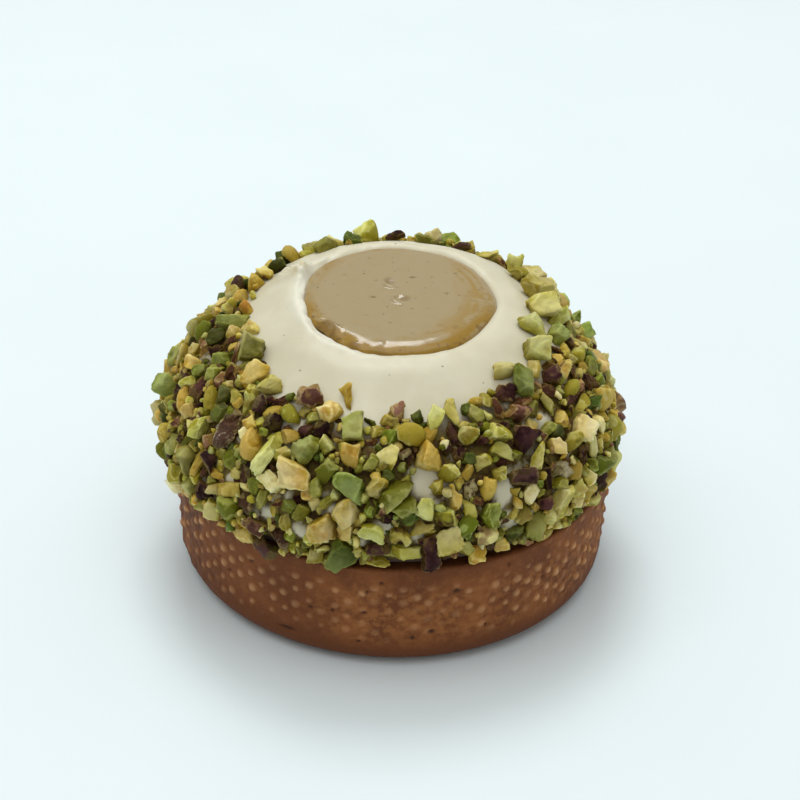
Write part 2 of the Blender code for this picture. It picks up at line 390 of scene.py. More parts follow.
def praline_material():
    """Glossy nut praline: taupe, mottled with ochre towards its edge and painted darker as shade on its steep
    front wall, with short brown streaks.
    """
    made = Finish("nut_praline")
    swirl = made.noise(4.5, 3.0, 0.6, 0.8)
    mottle = made.noise(1.2, 3.0, 0.6, 0.5)
    edge = made.mark("edge")
    band = made.total(made.mark("band"), 0.5, mottle, 0.5)
    turned = made.add("Mapping", "Vector", {"Vector": made.place, "Scale": STREAK_STRETCH,
                                            "Rotation": (0, 0, STREAK_TURN)})
    streak = made.total(made.cells(turned, 2.2), 1.0, mottle, 0.30)
    fleck = made.total(made.cells(made.place, 1.3), 1.0, made.noise(0.5), 0.5)
    colour = made.coats(
        PRALINE_TAUPE,
        # Ochre towards the edge, and painted shade on the steep front wall
        (made.times(edge, made.ramp(band, 0.38, 0.58, 0.30, 1.0)), PRALINE_OCHRE),
        (made.times(edge, made.ramp(mottle, 0.55, 0.68, 0.0, 0.42)), PRALINE_UMBER),
        (made.ramp(swirl, 0.5, 0.7, 0.0, 0.12), PRALINE_OCHRE),
        (made.times(made.ramp(fleck, 0.34, 0.50, 0.6, 0.0), made.ramp(made.noise(1.6, 1.0), 0.54, 0.64)),
         PRALINE_UMBER),
        (made.times(made.ramp(streak, 0.22, 0.36, 0.75, 0.0), made.ramp(made.noise(2.2, 1.0), 0.42, 0.62)),
         PRALINE_UMBER),
        (made.mark("scar"), PRALINE_UMBER),
    )
    made.surface(colour, made.ramp(mottle, 0.3, 0.7, 0.14, 0.24), 0.42, 0.2, (1.4, 0.9, 0.4))
    made.inputs["Coat Weight"].default_value = 0.24
    made.inputs["Coat Roughness"].default_value = 0.06
    made.bump(made.total(mottle, 0.25, swirl, 1.0), 0.10, 0.3)
    return made.material


# Each kind of piece: a darker copy of its flesh laid on facets and patches at random as painted shade, flesh,
# broken edges, a stain, and two colours of skin
NUT_KINDS = {
    "lime": ((0.262, 0.225, 0.012), (0.540, 0.498, 0.128), (0.775, 0.730, 0.410), (0.320, 0.190, 0.020),
             (0.330, 0.278, 0.028), (0.060, 0.022, 0.010)),
    "pale": ((0.366, 0.320, 0.040), (0.622, 0.580, 0.225), (0.815, 0.775, 0.500), (0.400, 0.260, 0.050),
             (0.420, 0.355, 0.066), (0.120, 0.058, 0.026)),
    "green": ((0.118, 0.128, 0.007), (0.278, 0.305, 0.060), (0.500, 0.500, 0.225), (0.190, 0.155, 0.012),
              (0.150, 0.162, 0.010), (0.055, 0.025, 0.010)),
    "deep": ((0.040, 0.056, 0.004), (0.102, 0.140, 0.020), (0.240, 0.270, 0.095), (0.075, 0.060, 0.006),
             (0.055, 0.062, 0.004), (0.030, 0.014, 0.006)),
    "yellow": ((0.350, 0.238, 0.016), (0.635, 0.502, 0.150), (0.800, 0.715, 0.430), (0.380, 0.200, 0.018),
               (0.490, 0.355, 0.068), (0.140, 0.060, 0.022)),
    "golden": ((0.440, 0.270, 0.022), (0.690, 0.510, 0.125), (0.800, 0.685, 0.310), (0.410, 0.180, 0.020),
               (0.590, 0.415, 0.092), (0.400, 0.190, 0.032)),
    "cream": ((0.580, 0.475, 0.160), (0.790, 0.725, 0.400), (0.860, 0.815, 0.530), (0.520, 0.395, 0.135),
              (0.690, 0.590, 0.260), (0.310, 0.205, 0.090)),
    "purple": ((0.062, 0.032, 0.010), (0.130, 0.080, 0.034), (0.300, 0.215, 0.120), (0.070, 0.024, 0.014),
               (0.027, 0.0082, 0.0095), (0.082, 0.033, 0.032)),
    "brown": ((0.230, 0.128, 0.040), (0.440, 0.305, 0.130), (0.660, 0.510, 0.320), (0.190, 0.076, 0.030),
              (0.270, 0.132, 0.092), (0.110, 0.042, 0.028)),
    "grey": ((0.240, 0.175, 0.095), (0.500, 0.410, 0.270), (0.790, 0.710, 0.580), (0.090, 0.038, 0.024),
             (0.700, 0.610, 0.500), (0.120, 0.060, 0.042)),
}
NUT_WRINKLES = {"purple": 1.2, "brown": 1.4, "grey": 3.2}
STAIN_SIZES_MM = {"brown": 1.7, "grey": 0.9}
# How far single pieces lean to green or to brown, and how much they shine
NUT_LEANINGS = {"green": 0.18, "deep": 0.18, "lime": 0.10, "pale": 0.10, "yellow": 0.07, "purple": 0.14}
NUT_SHINE = {"purple": 0.06, "brown": 0.10}
# Where the second colour of skin takes over: on most pieces of some kinds, on few of the rest
SKIN_TURNS = {"purple": 0.76, "brown": 0.78, "grey": 0.72}
# Painted shade: what is left of the colour where a piece sinks among the others
SUNK_SHADE = (0.72, 0.66, 0.36)
# The darkest and the lightest pieces, against their kind's colour
NUT_TONES = (0.80, 1.30)


def nut_material(kind):
    """Chopped pistachio: a darker copy of the flesh on some facets as painted shade, painted shade where it
    sinks among the others, paler at its broken edges, with stains and skin.
    """
    shaded_flesh, flesh, rim, stain, skin, other_skin = NUT_KINDS[kind]
    made = Finish("pistachio_" + kind)
    patch = made.noise(1.5)
    fibre = made.noise(0.42, 3.0, 0.65)
    stained = made.noise(STAIN_SIZES_MM.get(kind, 2.6))
    hue = made.mark("hue")
    turned = SKIN_TURNS.get(kind, 1.0)
    husk = made.ramp(made.total(hue, 0.5, stained, 1.0), turned - 0.1, turned + 0.1)
    colour = made.coats(
        # Painted shade: a darker copy of the flesh, with flesh laid over it by facet and patch
        shaded_flesh,
        (made.ramp(made.total(made.mark("facet"), 0.55, patch, 0.9), 0.45, 0.88), flesh),
        (made.ramp(made.mark("depth"), 0.15, 0.8, 0.0, 0.4), rim),
        (made.ramp(fibre, 0.56, 0.72, 0.0, 0.35), rim),
        (made.ramp(made.mark("edge"), 0.15, 0.95, 0.0, 0.40), rim),
        (made.times(made.ramp(stained, 0.52, 0.68, 0.0, 0.6), made.ramp(hue, 0.2, 0.9)), stain),
        (made.times(made.mark("skin"), made.ramp(patch, 0.32, 0.46, 0.15, 1.0)),
         made.blend(husk, skin, other_skin)),
    )
    leaning = NUT_LEANINGS.get(kind, 0.05)
    greener = (1 - 0.8 * leaning, 1 + 0.2 * leaning, 1 - leaning)
    browner = (1 + 0.6 * leaning, 1 - 0.3 * leaning, 1.0)
    other_draw = made.add("Math", 0, {0: made.times(hue, 7.0)}, operation="FRACT")
    colour = made.blend(1.0, colour, made.blend(other_draw, greener, browner), "MULTIPLY")
    # Painted shade where the piece sinks among the others
    colour = made.blend(made.ramp(made.mark("sunk"), 0.05, 1.0, 0.0, 0.92), colour, SUNK_SHADE, "MULTIPLY")
    light = made.ramp(made.mark("tone"), 0.0, 1.0, *NUT_TONES)
    colour = made.add("VectorMath", 0, {0: colour, "Scale": light}, operation="SCALE")
    roughness = made.ramp(fibre, 0.3, 0.7, 0.36, 0.55)
    made.surface(colour, roughness, NUT_SHINE.get(kind, 0.10), 0.50, (1.2, 1.0, 0.2))
    crease = made.noise(0.9, 4.0, 0.7, 1.2)
    made.bump(made.total(fibre, 0.5, crease, NUT_WRINKLES.get(kind, 0.35)), 0.26, 0.8)
    return made.material


FLOOR_PALE = (0.806, 0.900, 0.926)
FLOOR_PALER = (0.820, 0.914, 0.940)


def floor_material():
    """A plain pale satin floor."""
    made = Finish("pale_floor")
    made.surface(made.blend(made.ramp(made.noise(60.0), 0.3, 0.7), FLOOR_PALE, FLOOR_PALER), 0.5, 0.3)
    return made.material


# The baked shell

CRUST_COLUMNS = 880
CRUST_STEP = 0.00026
# Columns of dots left by the mould's holes, each second column half a step higher
DOT_COLUMNS = 106
DOT_STEP = 0.0030
DOT_LOWEST = 0.0027
DOT_STRAY = 0.00024
DOT_RADIUS = 0.00062
DOT_HEIGHT = 0.00036
# Each layer of relief: its height, the size of its lumps and its seed
CRUST_RELIEF = ((0.00007, 0.0045, 1), (0.00006, 0.0012, 2), (0.00004, 0.0005, 3))
BLOTCH_RELIEF = ((0.00011, 0.0016, 12),)
RIM_RELIEF = ((0.00014, 0.0022, 7), (0.00008, 0.0009, 8))
CRUST_SINK = 0.00005
# Heights over which the wall's relief, the dots, those near the rim, the blotches and the shade come or go
WALL_IN = (0.0012, 0.0035)
DOTS_IN, DOTS_OUT = (0.0038, 0.0080), (0.0152, 0.0172)
UPPER_DOTS_IN = (0.010, 0.014)
BLOTCH_IN, BLOTCH_OUT = (0.002, 0.006), (0.0140, 0.0170)
FOOT_SHADE_OUT, TOP_SHADE_IN = (0.0022, 0.0080), (0.0165, 0.0195)
RIM_WEAR = 0.00012
TOP_WEAR = 0.00010
TOP_RELIEF = ((0.00016, 0.0030, 9),)
CRUMB_HEIGHT = 0.00020
PIT_COUNT = 40
PIT_DEPTH = 0.00035
PIT_SEED = 31
PIT_LEVELS, PIT_WIDTHS, PIT_HEIGHTS = (0.002, 0.018), (0.0002, 0.0005), (0.0002, 0.0004)
# Slits and larger pits in the crust: angle, height, half width and half height
CRUST_SLITS = ((243.5, 0.0046, 0.0016, 0.0003), (281.0, 0.0072, 0.0006, 0.0004),
               (287.0, 0.0150, 0.0007, 0.0004), (264.0, 0.0110, 0.0005, 0.0003))


def crust_rows():
    """Radius and height down the shell's section, from its underside to the middle of its top."""
    flare = math.tan(SHELL_FLARE)

    def wall(height):
        return SHELL_RADIUS + flare * (height - SHELL_HEIGHT)

    flat = wall(SHELL_FOOT_ROUND) - SHELL_FOOT_ROUND
    rows = [(flat * share, 0.0) for share in (0.25, 0.5, 0.75, 0.92)]
    foot_steps = round(SHELL_FOOT_ROUND * math.pi / 2 / CRUST_STEP)
    for turn in math.pi / 2 * np.arange(foot_steps + 1) / foot_steps:
        rows.append((flat + SHELL_FOOT_ROUND * math.sin(turn), SHELL_FOOT_ROUND * (1 - math.cos(turn))))
    top = SHELL_HEIGHT - RIM_ROUND
    wall_steps = round((top - SHELL_FOOT_ROUND) / CRUST_STEP)
    for step in range(1, wall_steps + 1):
        height = SHELL_FOOT_ROUND + (top - SHELL_FOOT_ROUND) * step / wall_steps
        rows.append((wall(height), height))
    for turn in math.pi / 2 * np.arange(1, 5) / 4:
        rows.append((SHELL_RADIUS - RIM_ROUND * (1 - math.cos(turn)), top + RIM_ROUND * math.sin(turn)))
    for inward in (0.0005, 0.0011, 0.0018, 0.0027, 0.0040, 0.0080, 0.0200):
        rows.append((SHELL_RADIUS - RIM_ROUND - inward, SHELL_HEIGHT))
    return np.array(rows)


def dot_field(angles, heights):
    """The raised dots that the mould's holes leave, some fainter and some missing."""
    pitch = 2 * math.pi * SHELL_RADIUS / DOT_COLUMNS
    across = (angles - 1.5 * math.pi) / (2 * math.pi) * DOT_COLUMNS
    best = np.zeros(angles.shape)
    for side_step in (0, 1):
        column = np.floor(across) + side_step
        up = (heights - DOT_LOWEST) / DOT_STEP - 0.5 * np.mod(column, 2)
        for row_step in (0, 1):
            row = np.floor(up) + row_step
            cell = np.stack([np.mod(column, DOT_COLUMNS), row], axis=-1)
            dx = (across - column) * pitch - DOT_STRAY * (2 * hash_unit(cell, 11) - 1)
            dy = (up - row) * DOT_STEP - DOT_STRAY * (2 * hash_unit(cell, 12) - 1)
            size = DOT_RADIUS * (0.75 + 0.5 * hash_unit(cell, 13))
            power = smooth_step(0.05, 0.55, hash_unit(cell, 14))
            best = np.maximum(best, power * hump(dx * dx + dy * dy, size**2, 2.2))
    return best


def crust_pits(angles, height):
    """How much of a pit or slit is at each point, from 0 to 1."""
    draw = random.Random(PIT_SEED)
    whole = 2 * math.pi * SHELL_RADIUS
    spots = [(math.radians(angle) * SHELL_RADIUS, *sizes) for angle, *sizes in CRUST_SLITS]
    for index in range(PIT_COUNT):
        spots.append([draw.uniform(*ends) for ends in ((0, whole), PIT_LEVELS, PIT_WIDTHS, PIT_HEIGHTS)])
    pits = np.zeros(height.shape)
    for middle, level, wide, tall in spots:
        away = (angles * SHELL_RADIUS - middle + whole / 2) % whole - whole / 2
        pits = np.maximum(pits, hump((away / wide) ** 2 + ((height - level) / tall) ** 2, 1, 1.5))
    return pits


def make_crust():
    """The shell with its dots, crumb, pits and uneven rim as real relief."""
    rows = crust_rows()
    points, angles, field = turned_grid(rows, CRUST_COLUMNS)
    height = points[..., 2]
    wall = smooth_step(*WALL_IN, height) * (rows[:, 0] > SHELL_RADIUS - 0.006)[:, None]
    aside = np.abs(np.cos(angles))
    band = smooth_step(*DOTS_IN, height + 0.0015 * field(0.006, 6))
    band *= 1 - smooth_step(*DOTS_OUT, height)
    sides = 0.62 + 0.38 * smooth_step(0.05, 0.75, aside + 0.25 * field(0.012, 5))
    upper = smooth_step(0.60, 0.95, aside) * smooth_step(*UPPER_DOTS_IN, height)
    clear = 0.55 + 0.6 * smooth_step(-0.5, 0.3, field(0.009, 4))
    dots = dot_field(angles, height) * np.clip(band * sides * clear + 0.8 * upper, 0, 1) * wall
    # At the front right the dots run together into blotches
    blotch = towards(angles, 318, 0.25, 0.60) * smooth_step(*BLOTCH_IN, height)
    blotch *= 1 - smooth_step(*BLOTCH_OUT, height)
    relief = DOT_HEIGHT * dots * (1 + 0.45 * smooth_step(0.5, 0.95, aside))
    relief += wall * (lumps(field, CRUST_RELIEF) - CRUST_SINK)
    relief += wall * (blotch + 0.6 * upper) * lumps(field, BLOTCH_RELIEF)
    # The left is rough, with painted shade in the hollows between its dots
    rough = towards(angles, 180, 0.72, 0.95) * wall
    crumb = field(0.0014, 13)
    pits = crust_pits(angles, height) * wall
    relief += CRUMB_HEIGHT * rough * crumb - PIT_DEPTH * pits
    pits = np.maximum(pits, 0.75 * rough * smooth_step(0.15, 0.60, -crumb - 0.8 * dots))
    rim = smooth_step(SHELL_HEIGHT - 0.0030, SHELL_HEIGHT - 0.0004, height) * (rows[:, 0] > 0.030)[:, None]
    relief -= rim * (RIM_WEAR + lumps(field, RIM_RELIEF))
    moved = points + turned_normals(points) * relief[..., None]
    top = smooth_step(SHELL_HEIGHT - 0.0010, SHELL_HEIGHT, height)
    moved[..., 2] -= top * np.clip(TOP_WEAR + lumps(field, TOP_RELIEF), 0, 1)
    moved[..., 2] = np.maximum(moved[..., 2], 0.0)
    # Darker towards the foot and in random patches; painted shade in the band under the rim's top and at the
    # left middle
    shade = 0.95 * (1 - smooth_step(*FOOT_SHADE_OUT, height))
    shade += 0.35 * smooth_step(*TOP_SHADE_IN, height) * (1 - upper)
    shade += 0.25 * (1 - smooth_step(-0.5, 0.4, field(0.010, 10)))
    shade += 0.40 * towards(angles, 234, 0.88, 0.99)
    # The dots are brighter at the left, a painted highlight
    marks = {"dot": (0.60 + 0.36 * towards(angles, 180, 0.4, 0.9)) * dots, "pit": pits,
             "shade": np.clip(shade, 0, 0.95), "blotch": 0.6 * blotch}
    add_turned("crust", moved, marks, crust_material(), "tart_shell")


# The mousse dome and its praline

def dome_section(turn):
    """Radius and height of the dome's side: turn is -90 degrees at the foot, 0 at the waist."""
    turn = np.asarray(turn, float)
    across, rise = np.maximum(np.cos(turn), 0.0), np.sin(turn)
    power = 2 / DOME_FULLNESS
    under = DOME_FOOT_RADIUS + (DOME_RADIUS - DOME_FOOT_RADIUS) * across
    radius = np.where(turn < 0, under, DOME_RADIUS * across ** power)
    low = DOME_WAIST_HEIGHT + (DOME_WAIST_HEIGHT - DOME_BASE_HEIGHT) * rise
    high = DOME_WAIST_HEIGHT + DOME_RISE * np.maximum(rise, 0.0) ** power
    return radius, np.where(turn < 0, low, high)


def bowl_rows(radius, edge_height, floor_height, steps):
    """A steep-sided bowl from just under its edge almost to its middle."""
    turn = math.pi / 2 * np.arange(1, steps) / steps
    power = 2 / WELL_FULLNESS
    return list(zip(radius * np.cos(turn) ** power,
                    edge_height - (edge_height - floor_height) * np.sin(turn) ** power))


# How the pool's outline strays from a circle: how far, in how many waves, and where they start
EDGE_WAVES = ((0.00022, 3, 0.6), (0.00016, 7, 2.0))


def edge_wobble(angles):
    """How far the pool's outline strays from a circle."""
    return sum(size * np.sin(waves * angles + start) for size, waves, start in EDGE_WAVES)


MOUSSE_COLUMNS = 420
# Heights over which the bare top, the lip, its outer slope, its ridge and the well's edge come in
TOP_IN = (0.0425, 0.0455)
LIP_IN = (0.0460, 0.0472)
SHOULDER_IN = (0.0440, 0.0460)
RIDGE_IN = (0.0440, 0.0455)
WELL_EDGE_IN = (0.0440, 0.0465)
# Heights over which the painted shadow at the dome's foot fades out
FOOT_SHADOW_OUT = (0.0212, 0.0240)
# Where round the axis these stand, and how wide they are
LIP_MIDDLE, LIP_SPREAD = WELL_RADIUS + 0.0010, 0.0014
SHOULDER_RADIUS, SHOULDER_SPREAD = 0.0198, 0.0022
WELL_EDGE_SPREAD = 0.0016
SHEEN_RADIUS, SHEEN_SPREAD = 0.0168, 0.0014
SIDE_ROWS = 110
# How far below the lip the dome's side ends
SIDE_END = 0.06
LIP_ROWS = 12
# The lip stands higher at the left and lower at the front right
LIP_RAISED, LIP_LOW = 1.05, 0.65
# Each layer of relief: its height, the size of its lumps and its seed
DOME_SWELL = ((0.00024, 0.011, 21), (0.00013, 0.004, 22))
BED_SWELL = ((0.00030, 0.0035, 23), (0.00015, 0.0015, 24))
SHOULDER_SWELL = ((0.00025, 0.0050, 28), (0.00008, 0.0018, 29))
# The lip's relief: its height at the right, what the left adds, the size of its lumps and its seed
LIP_RELIEF = ((0.00014, 0.00034, 0.0032, 25), (0.00006, 0.00020, 0.0012, 26))
# A low ridge and the hollow outside it: height, radius and width
RIDGE_RELIEF = ((0.00022, 0.0176, 0.0007), (-0.00008, 0.0196, 0.0012))
TORN_ANGLE = math.radians(158)
TORN_RADIUS = 0.0196
TORN_SIZE = 0.0029
TORN_IN = (0.0450, 0.0463)
TORN_HEIGHT = 0.00105
TORN_RELIEF = ((0.00125, 0.0014, 27), (0.00075, 0.0007, 35))


def mousse_rows():
    """Radius and height along the dome's section, from its underside to the middle of its well."""
    rows = [(DOME_FOOT_RADIUS * share, DOME_BASE_HEIGHT) for share in (0.4, 0.8, 0.95)]
    lip_radius, lip_top = WELL_RADIUS + LIP_WIDTH, WELL_EDGE_HEIGHT + LIP_HEIGHT
    side_end = math.acos((lip_radius / DOME_RADIUS) ** (DOME_FULLNESS / 2)) - SIDE_END
    rows += list(zip(*dome_section(np.linspace(-math.pi / 2, side_end, SIDE_ROWS))))
    radius, height = dome_section(side_end)
    for share in (0.15, 0.3, 0.45, 0.6, 0.75, 0.9):
        ease = 0.9 + 0.1 * smooth_step(0, 1, share)
        rise = (0.5 * share + 0.5 * math.sin(share * math.pi / 2)) * ease
        rows.append((radius + (lip_radius - radius) * share, height + (lip_top - height) * rise))
    for turn in np.linspace(0, math.pi / 2, LIP_ROWS):
        drop = LIP_HEIGHT * (1 - math.cos(turn))
        rows.append((WELL_RADIUS + LIP_WIDTH * (1 - math.sin(turn)), lip_top - drop))
    return rows + bowl_rows(WELL_RADIUS, WELL_EDGE_HEIGHT, WELL_FLOOR_HEIGHT, 8)


def make_mousse():
    """The bare dome: soft waves, a lip drawn up round the well, and one torn lump on the lip."""
    points, angles, field = turned_grid(mousse_rows(), MOUSSE_COLUMNS)
    normals = turned_normals(points)
    radius, height = np.linalg.norm(points[..., :2], axis=-1), points[..., 2]
    outside = smooth_step(DOME_BASE_HEIGHT, DOME_BASE_HEIGHT + 0.002, height)
    free_top = smooth_step(*TOP_IN, height)
    swell = outside * (lumps(field, DOME_SWELL) + (1 - free_top) * lumps(field, BED_SWELL))
    # The lip is rough on the left, where the praline was drawn off, and smooth on the right
    left = towards(angles, 190, -0.15, 0.75)
    near_lip = hump(radius - LIP_MIDDLE, LIP_SPREAD) * smooth_step(*LIP_IN, height)
    for smooth, torn, size, seed in LIP_RELIEF:
        swell += near_lip * (smooth + torn * left) * field(size, seed)
    shoulder = hump(radius - SHOULDER_RADIUS, SHOULDER_SPREAD) * smooth_step(*SHOULDER_IN, height)
    swell += shoulder * left * lumps(field, SHOULDER_SWELL)
    along = towards(angles, 195, 0.35, 0.85) * smooth_step(*RIDGE_IN, height)
    for rise, middle, width in RIDGE_RELIEF:
        swell += along * rise * hump(radius + 0.0007 * field(0.005, 39) - middle, width)
    moved = points + normals * swell[..., None]
    raised = LIP_RAISED + (LIP_LOW - LIP_RAISED) * towards(angles, -50, -0.6, 0.5)
    moved[..., 2] += np.maximum(moved[..., 2] - WELL_EDGE_HEIGHT, 0) * (raised - 1)
    away = np.hypot(moved[..., 0] - TORN_RADIUS * math.cos(TORN_ANGLE),
                    moved[..., 1] - TORN_RADIUS * math.sin(TORN_ANGLE))
    torn = hump(away, TORN_SIZE, 4) * smooth_step(*TORN_IN, height)
    moved[..., 2] += torn * (TORN_HEIGHT + lumps(field, TORN_RELIEF))
    inner = hump(radius - WELL_RADIUS, WELL_EDGE_SPREAD) * smooth_step(*WELL_EDGE_IN, height)
    moved[..., 0] += inner * edge_wobble(angles) * np.cos(angles)
    moved[..., 1] += inner * edge_wobble(angles) * np.sin(angles)
    below = (height < DOME_WAIST_HEIGHT) | (radius > DOME_RADIUS - 0.003)
    start = nut_edge_radius(angles) + 0.0006 * field(0.0024, 36)
    # Under the nuts the cream takes a crumb stain that is also painted shade
    crumb_and_shade_bed = np.where(below, 1.0, smooth_step(0.0002, 0.0030, radius - start))
    # Painted shadow at the dome's foot, under the nuts' overhang
    foot = 1 - smooth_step(*FOOT_SHADOW_OUT, height + 0.0006 * field(0.003, 37))
    gaps = cream_gaps(settle(moved)) * crumb_and_shade_bed
    # Painted sheen: the cream just outside the well at the left is whiter
    painted_sheen = towards(angles, 195, 0.2, 0.8) * free_top * hump(radius - SHEEN_RADIUS, SHEEN_SPREAD)
    # Painted shade in crevices of the torn lump
    crease = torn * smooth_step(0.0, 0.6, -field(0.0011, 45))
    marks = {"crumb_and_shade_bed": crumb_and_shade_bed * (1 - gaps), "foot": foot * (1 - gaps), "painted_sheen": painted_sheen, "crease": crease}
    moved += normals * (GAP_RISE * gaps)[..., None]
    add_turned("mousse_dome", settle(moved), marks, mousse_material(), "mousse")


POOL_COLUMNS = 300
POOL_SWELL = ((0.00006, 0.006, 31), (0.00003, 0.0020, 32))
# Bits torn loose at the front left: how high they stand, and how far out they begin
BROKEN_HEIGHT = 0.00028
BROKEN_IN = (0.0004, 0.0016)
# How far the edge strays at the front left, and all round
TORN_STRAY = ((0.00040, 0.0018, 33),)
EDGE_STRAY = ((0.00010, 0.0024, 38),)
EDGE_IN = (0.0125, 0.0150)
# Where the ochre ring begins at the left and how much further in at the right, and the same for its width
RING_RADIUS, RING_WIDER = 0.0134, 0.0050
RING_FADE, RING_FADE_WIDER = 0.0022, 0.0024
# Two small craters: x, y, radius, height of the rim, its highest side and the side of the brown mark
POOL_CRATERS = ((-0.0013, 0.0036, 0.0013, 0.00038, math.radians(240), math.radians(120)),
                (0.0002, -0.0012, 0.0012, 0.00040, math.radians(200), math.radians(15)))


def pool_rows():
    """Radius and height along the pool's section, from its floor to the middle of its top."""
    rows = bowl_rows(WELL_RADIUS - 0.0004, WELL_EDGE_HEIGHT - 0.0006, WELL_FLOOR_HEIGHT + 0.0006, 6)[::-1]
    rows.append((WELL_RADIUS - 0.0002, WELL_EDGE_HEIGHT - 0.0004))
    flat_edge = WELL_RADIUS + POOL_BITE - POOL_EDGE_ROUND
    for turn in math.pi / 2 * np.arange(25) / 24:
        height = WELL_EDGE_HEIGHT + POOL_CROWN * math.sin(turn)
        rows.append((flat_edge + POOL_EDGE_ROUND * math.cos(turn), height))
    shares = np.linspace(0.98, 0.02, 62)
    return rows + [(flat_edge * share, WELL_EDGE_HEIGHT + POOL_CROWN) for share in shares]


def make_praline():
    """The pool: thick, glossy and round-shouldered, with two small craters."""
    points, angles, field = turned_grid(pool_rows(), POOL_COLUMNS)
    radius = np.linalg.norm(points[..., :2], axis=-1)
    past_flat = radius - (WELL_RADIUS + POOL_BITE - POOL_EDGE_ROUND)
    on_top = smooth_step(WELL_EDGE_HEIGHT + 0.0004, WELL_EDGE_HEIGHT + POOL_CROWN, points[..., 2])
    # At the back left the praline stands almost level up to its edge
    level = towards(angles, 125, -0.3, 0.6)
    share = np.clip((points[..., 2] - WELL_EDGE_HEIGHT) / POOL_CROWN, 0, 1)
    points[..., 2] += POOL_CROWN * (share ** (1 - 0.6 * level) - share) * (share > 0)
    points[..., 2] += on_top * lumps(field, POOL_SWELL)
    scar = np.zeros(radius.shape)
    for x, y, size, high, high_side, dark_side in POOL_CRATERS:
        dx, dy = points[..., 0] - x, points[..., 1] - y
        away = np.hypot(dx, dy) / size
        facing = 0.5 + 0.5 * np.cos(np.arctan2(dy, dx) - high_side)
        points[..., 2] += on_top * high * (facing**2 * hump(away - 1, 0.26) - 0.5 * hump(away, 1))
        dark_away = np.hypot(dx / size - 0.7 * math.cos(dark_side), dy / size - 0.7 * math.sin(dark_side))
        scar = np.maximum(scar, hump(dark_away, 0.75, 4))
    front_left = towards(angles, 222, 0.50, 0.95)
    broken = front_left * smooth_step(*BROKEN_IN, past_flat) * smooth_step(-0.1, 0.3, field(0.0024, 46))
    points[..., 2] += BROKEN_HEIGHT * broken * on_top
    strayed = edge_wobble(angles) + lumps(field, TORN_STRAY) * front_left + lumps(field, EDGE_STRAY)
    strayed *= smooth_step(*EDGE_IN, radius)
    points[..., 0] += strayed * np.cos(angles)
    points[..., 1] += strayed * np.sin(angles)
    # The ochre ring is wider at the right, and painted darkest at the front as shade on the steep wall
    right = towards(angles, -20, 0.1, 0.95)
    inner = RING_RADIUS - RING_WIDER * right
    outer = inner + RING_FADE + RING_FADE_WIDER * right
    ring = smooth_step(inner, outer, radius + 0.0010 * field(0.0040, 34))
    front = 1.6 * smooth_step(0.0005, 0.0030, past_flat) * towards(angles, 270, -0.2, 0.6)
    # Streaks that run round the pool with its edge
    streaks = np.stack([radius * 1.6, angles * 0.0040, 0 * radius], axis=-1).reshape(-1, 3)
    band = 0.5 + 0.5 * lattice_noise(streaks, 0.0011, 44).reshape(radius.shape)
    marks = {"edge": np.maximum(ring * (0.64 + 0.10 * right), front),
             "scar": 0.50 * np.maximum(scar, 0.9 * broken), "band": band}
    add_turned("praline_pool", settle(points), marks, praline_material(), "praline")


# The chopped pistachios: pieces cut and broken from an oval kernel

KERNEL = np.array([0.0058, 0.0038, 0.0034])
CUT_HALF_LENGTH = 0.0022
# For each use: how many points shape a piece, and how many forms of each shape are made
PLACED_POINTS = 560
FILLING_POINTS, FILLING_FORMS = 224, 20
CRUMB_POINTS, CRUMB_FORMS = 44, 9
# Each shape: width and depth to length, lean of its cuts in degrees, corners cut off, and its edges
Shape = namedtuple("Shape", "wide deep lean corners crisp rough")
NUT_SHAPES = {
    "cube": Shape(0.90, 0.84, 16, 2, 34, 1.0),
    "wedge": Shape(0.78, 0.70, 32, 2, 34, 1.1),
    "slice": Shape(0.76, 0.50, 18, 3, 28, 1.0),
    "sliver": Shape(0.44, 0.46, 24, 2, 26, 1.0),
    "knob": Shape(0.80, 0.78, 14, 1, 12, 1.2),
    "shell": Shape(0.84, 0.74, 22, 2, 9, 1.9),
    "husk": Shape(0.72, 0.42, 28, 3, 16, 2.2),
}
SKIN_OUT_KINDS = ("purple", "brown", "grey")
FACET_BEND = 0.12
LUMP_SIZE, LUMP_HEIGHT = 0.0013, 0.00026
CHIP_SIZE, CHIP_HEIGHT = 0.0006, 0.00016


def even_sphere(count):
    """Points spread evenly on a unit sphere, with the triangles between them."""
    step = np.arange(count) + 0.5
    level = 1 - 2 * step / count
    turn = math.pi * (1 + math.sqrt(5)) * step
    flat = np.sqrt(1 - level * level)
    points = np.stack([np.cos(turn) * flat, np.sin(turn) * flat, level], axis=1)
    mesh = bmesh.new()
    for point in points:
        mesh.verts.new(point)
    bmesh.ops.convex_hull(mesh, input=list(mesh.verts))
    mesh.verts.index_update()
    bmesh.ops.recalc_face_normals(mesh, faces=list(mesh.faces))
    bmesh.ops.triangulate(mesh, faces=list(mesh.faces))
    triangles = np.array([[vert.index for vert in face.verts] for face in mesh.faces])
    mesh.free()
    return points, triangles


def vector_noise(points, scale, seed):
    """Smooth noise in three directions."""
    return np.stack([lattice_noise(points, scale, seed + axis) for axis in range(3)], axis=1)


def drawn_vector(spread, draw):
    """A direction drawn round nought."""
    return Vector([draw.gauss(0, spread) for axis in range(3)])


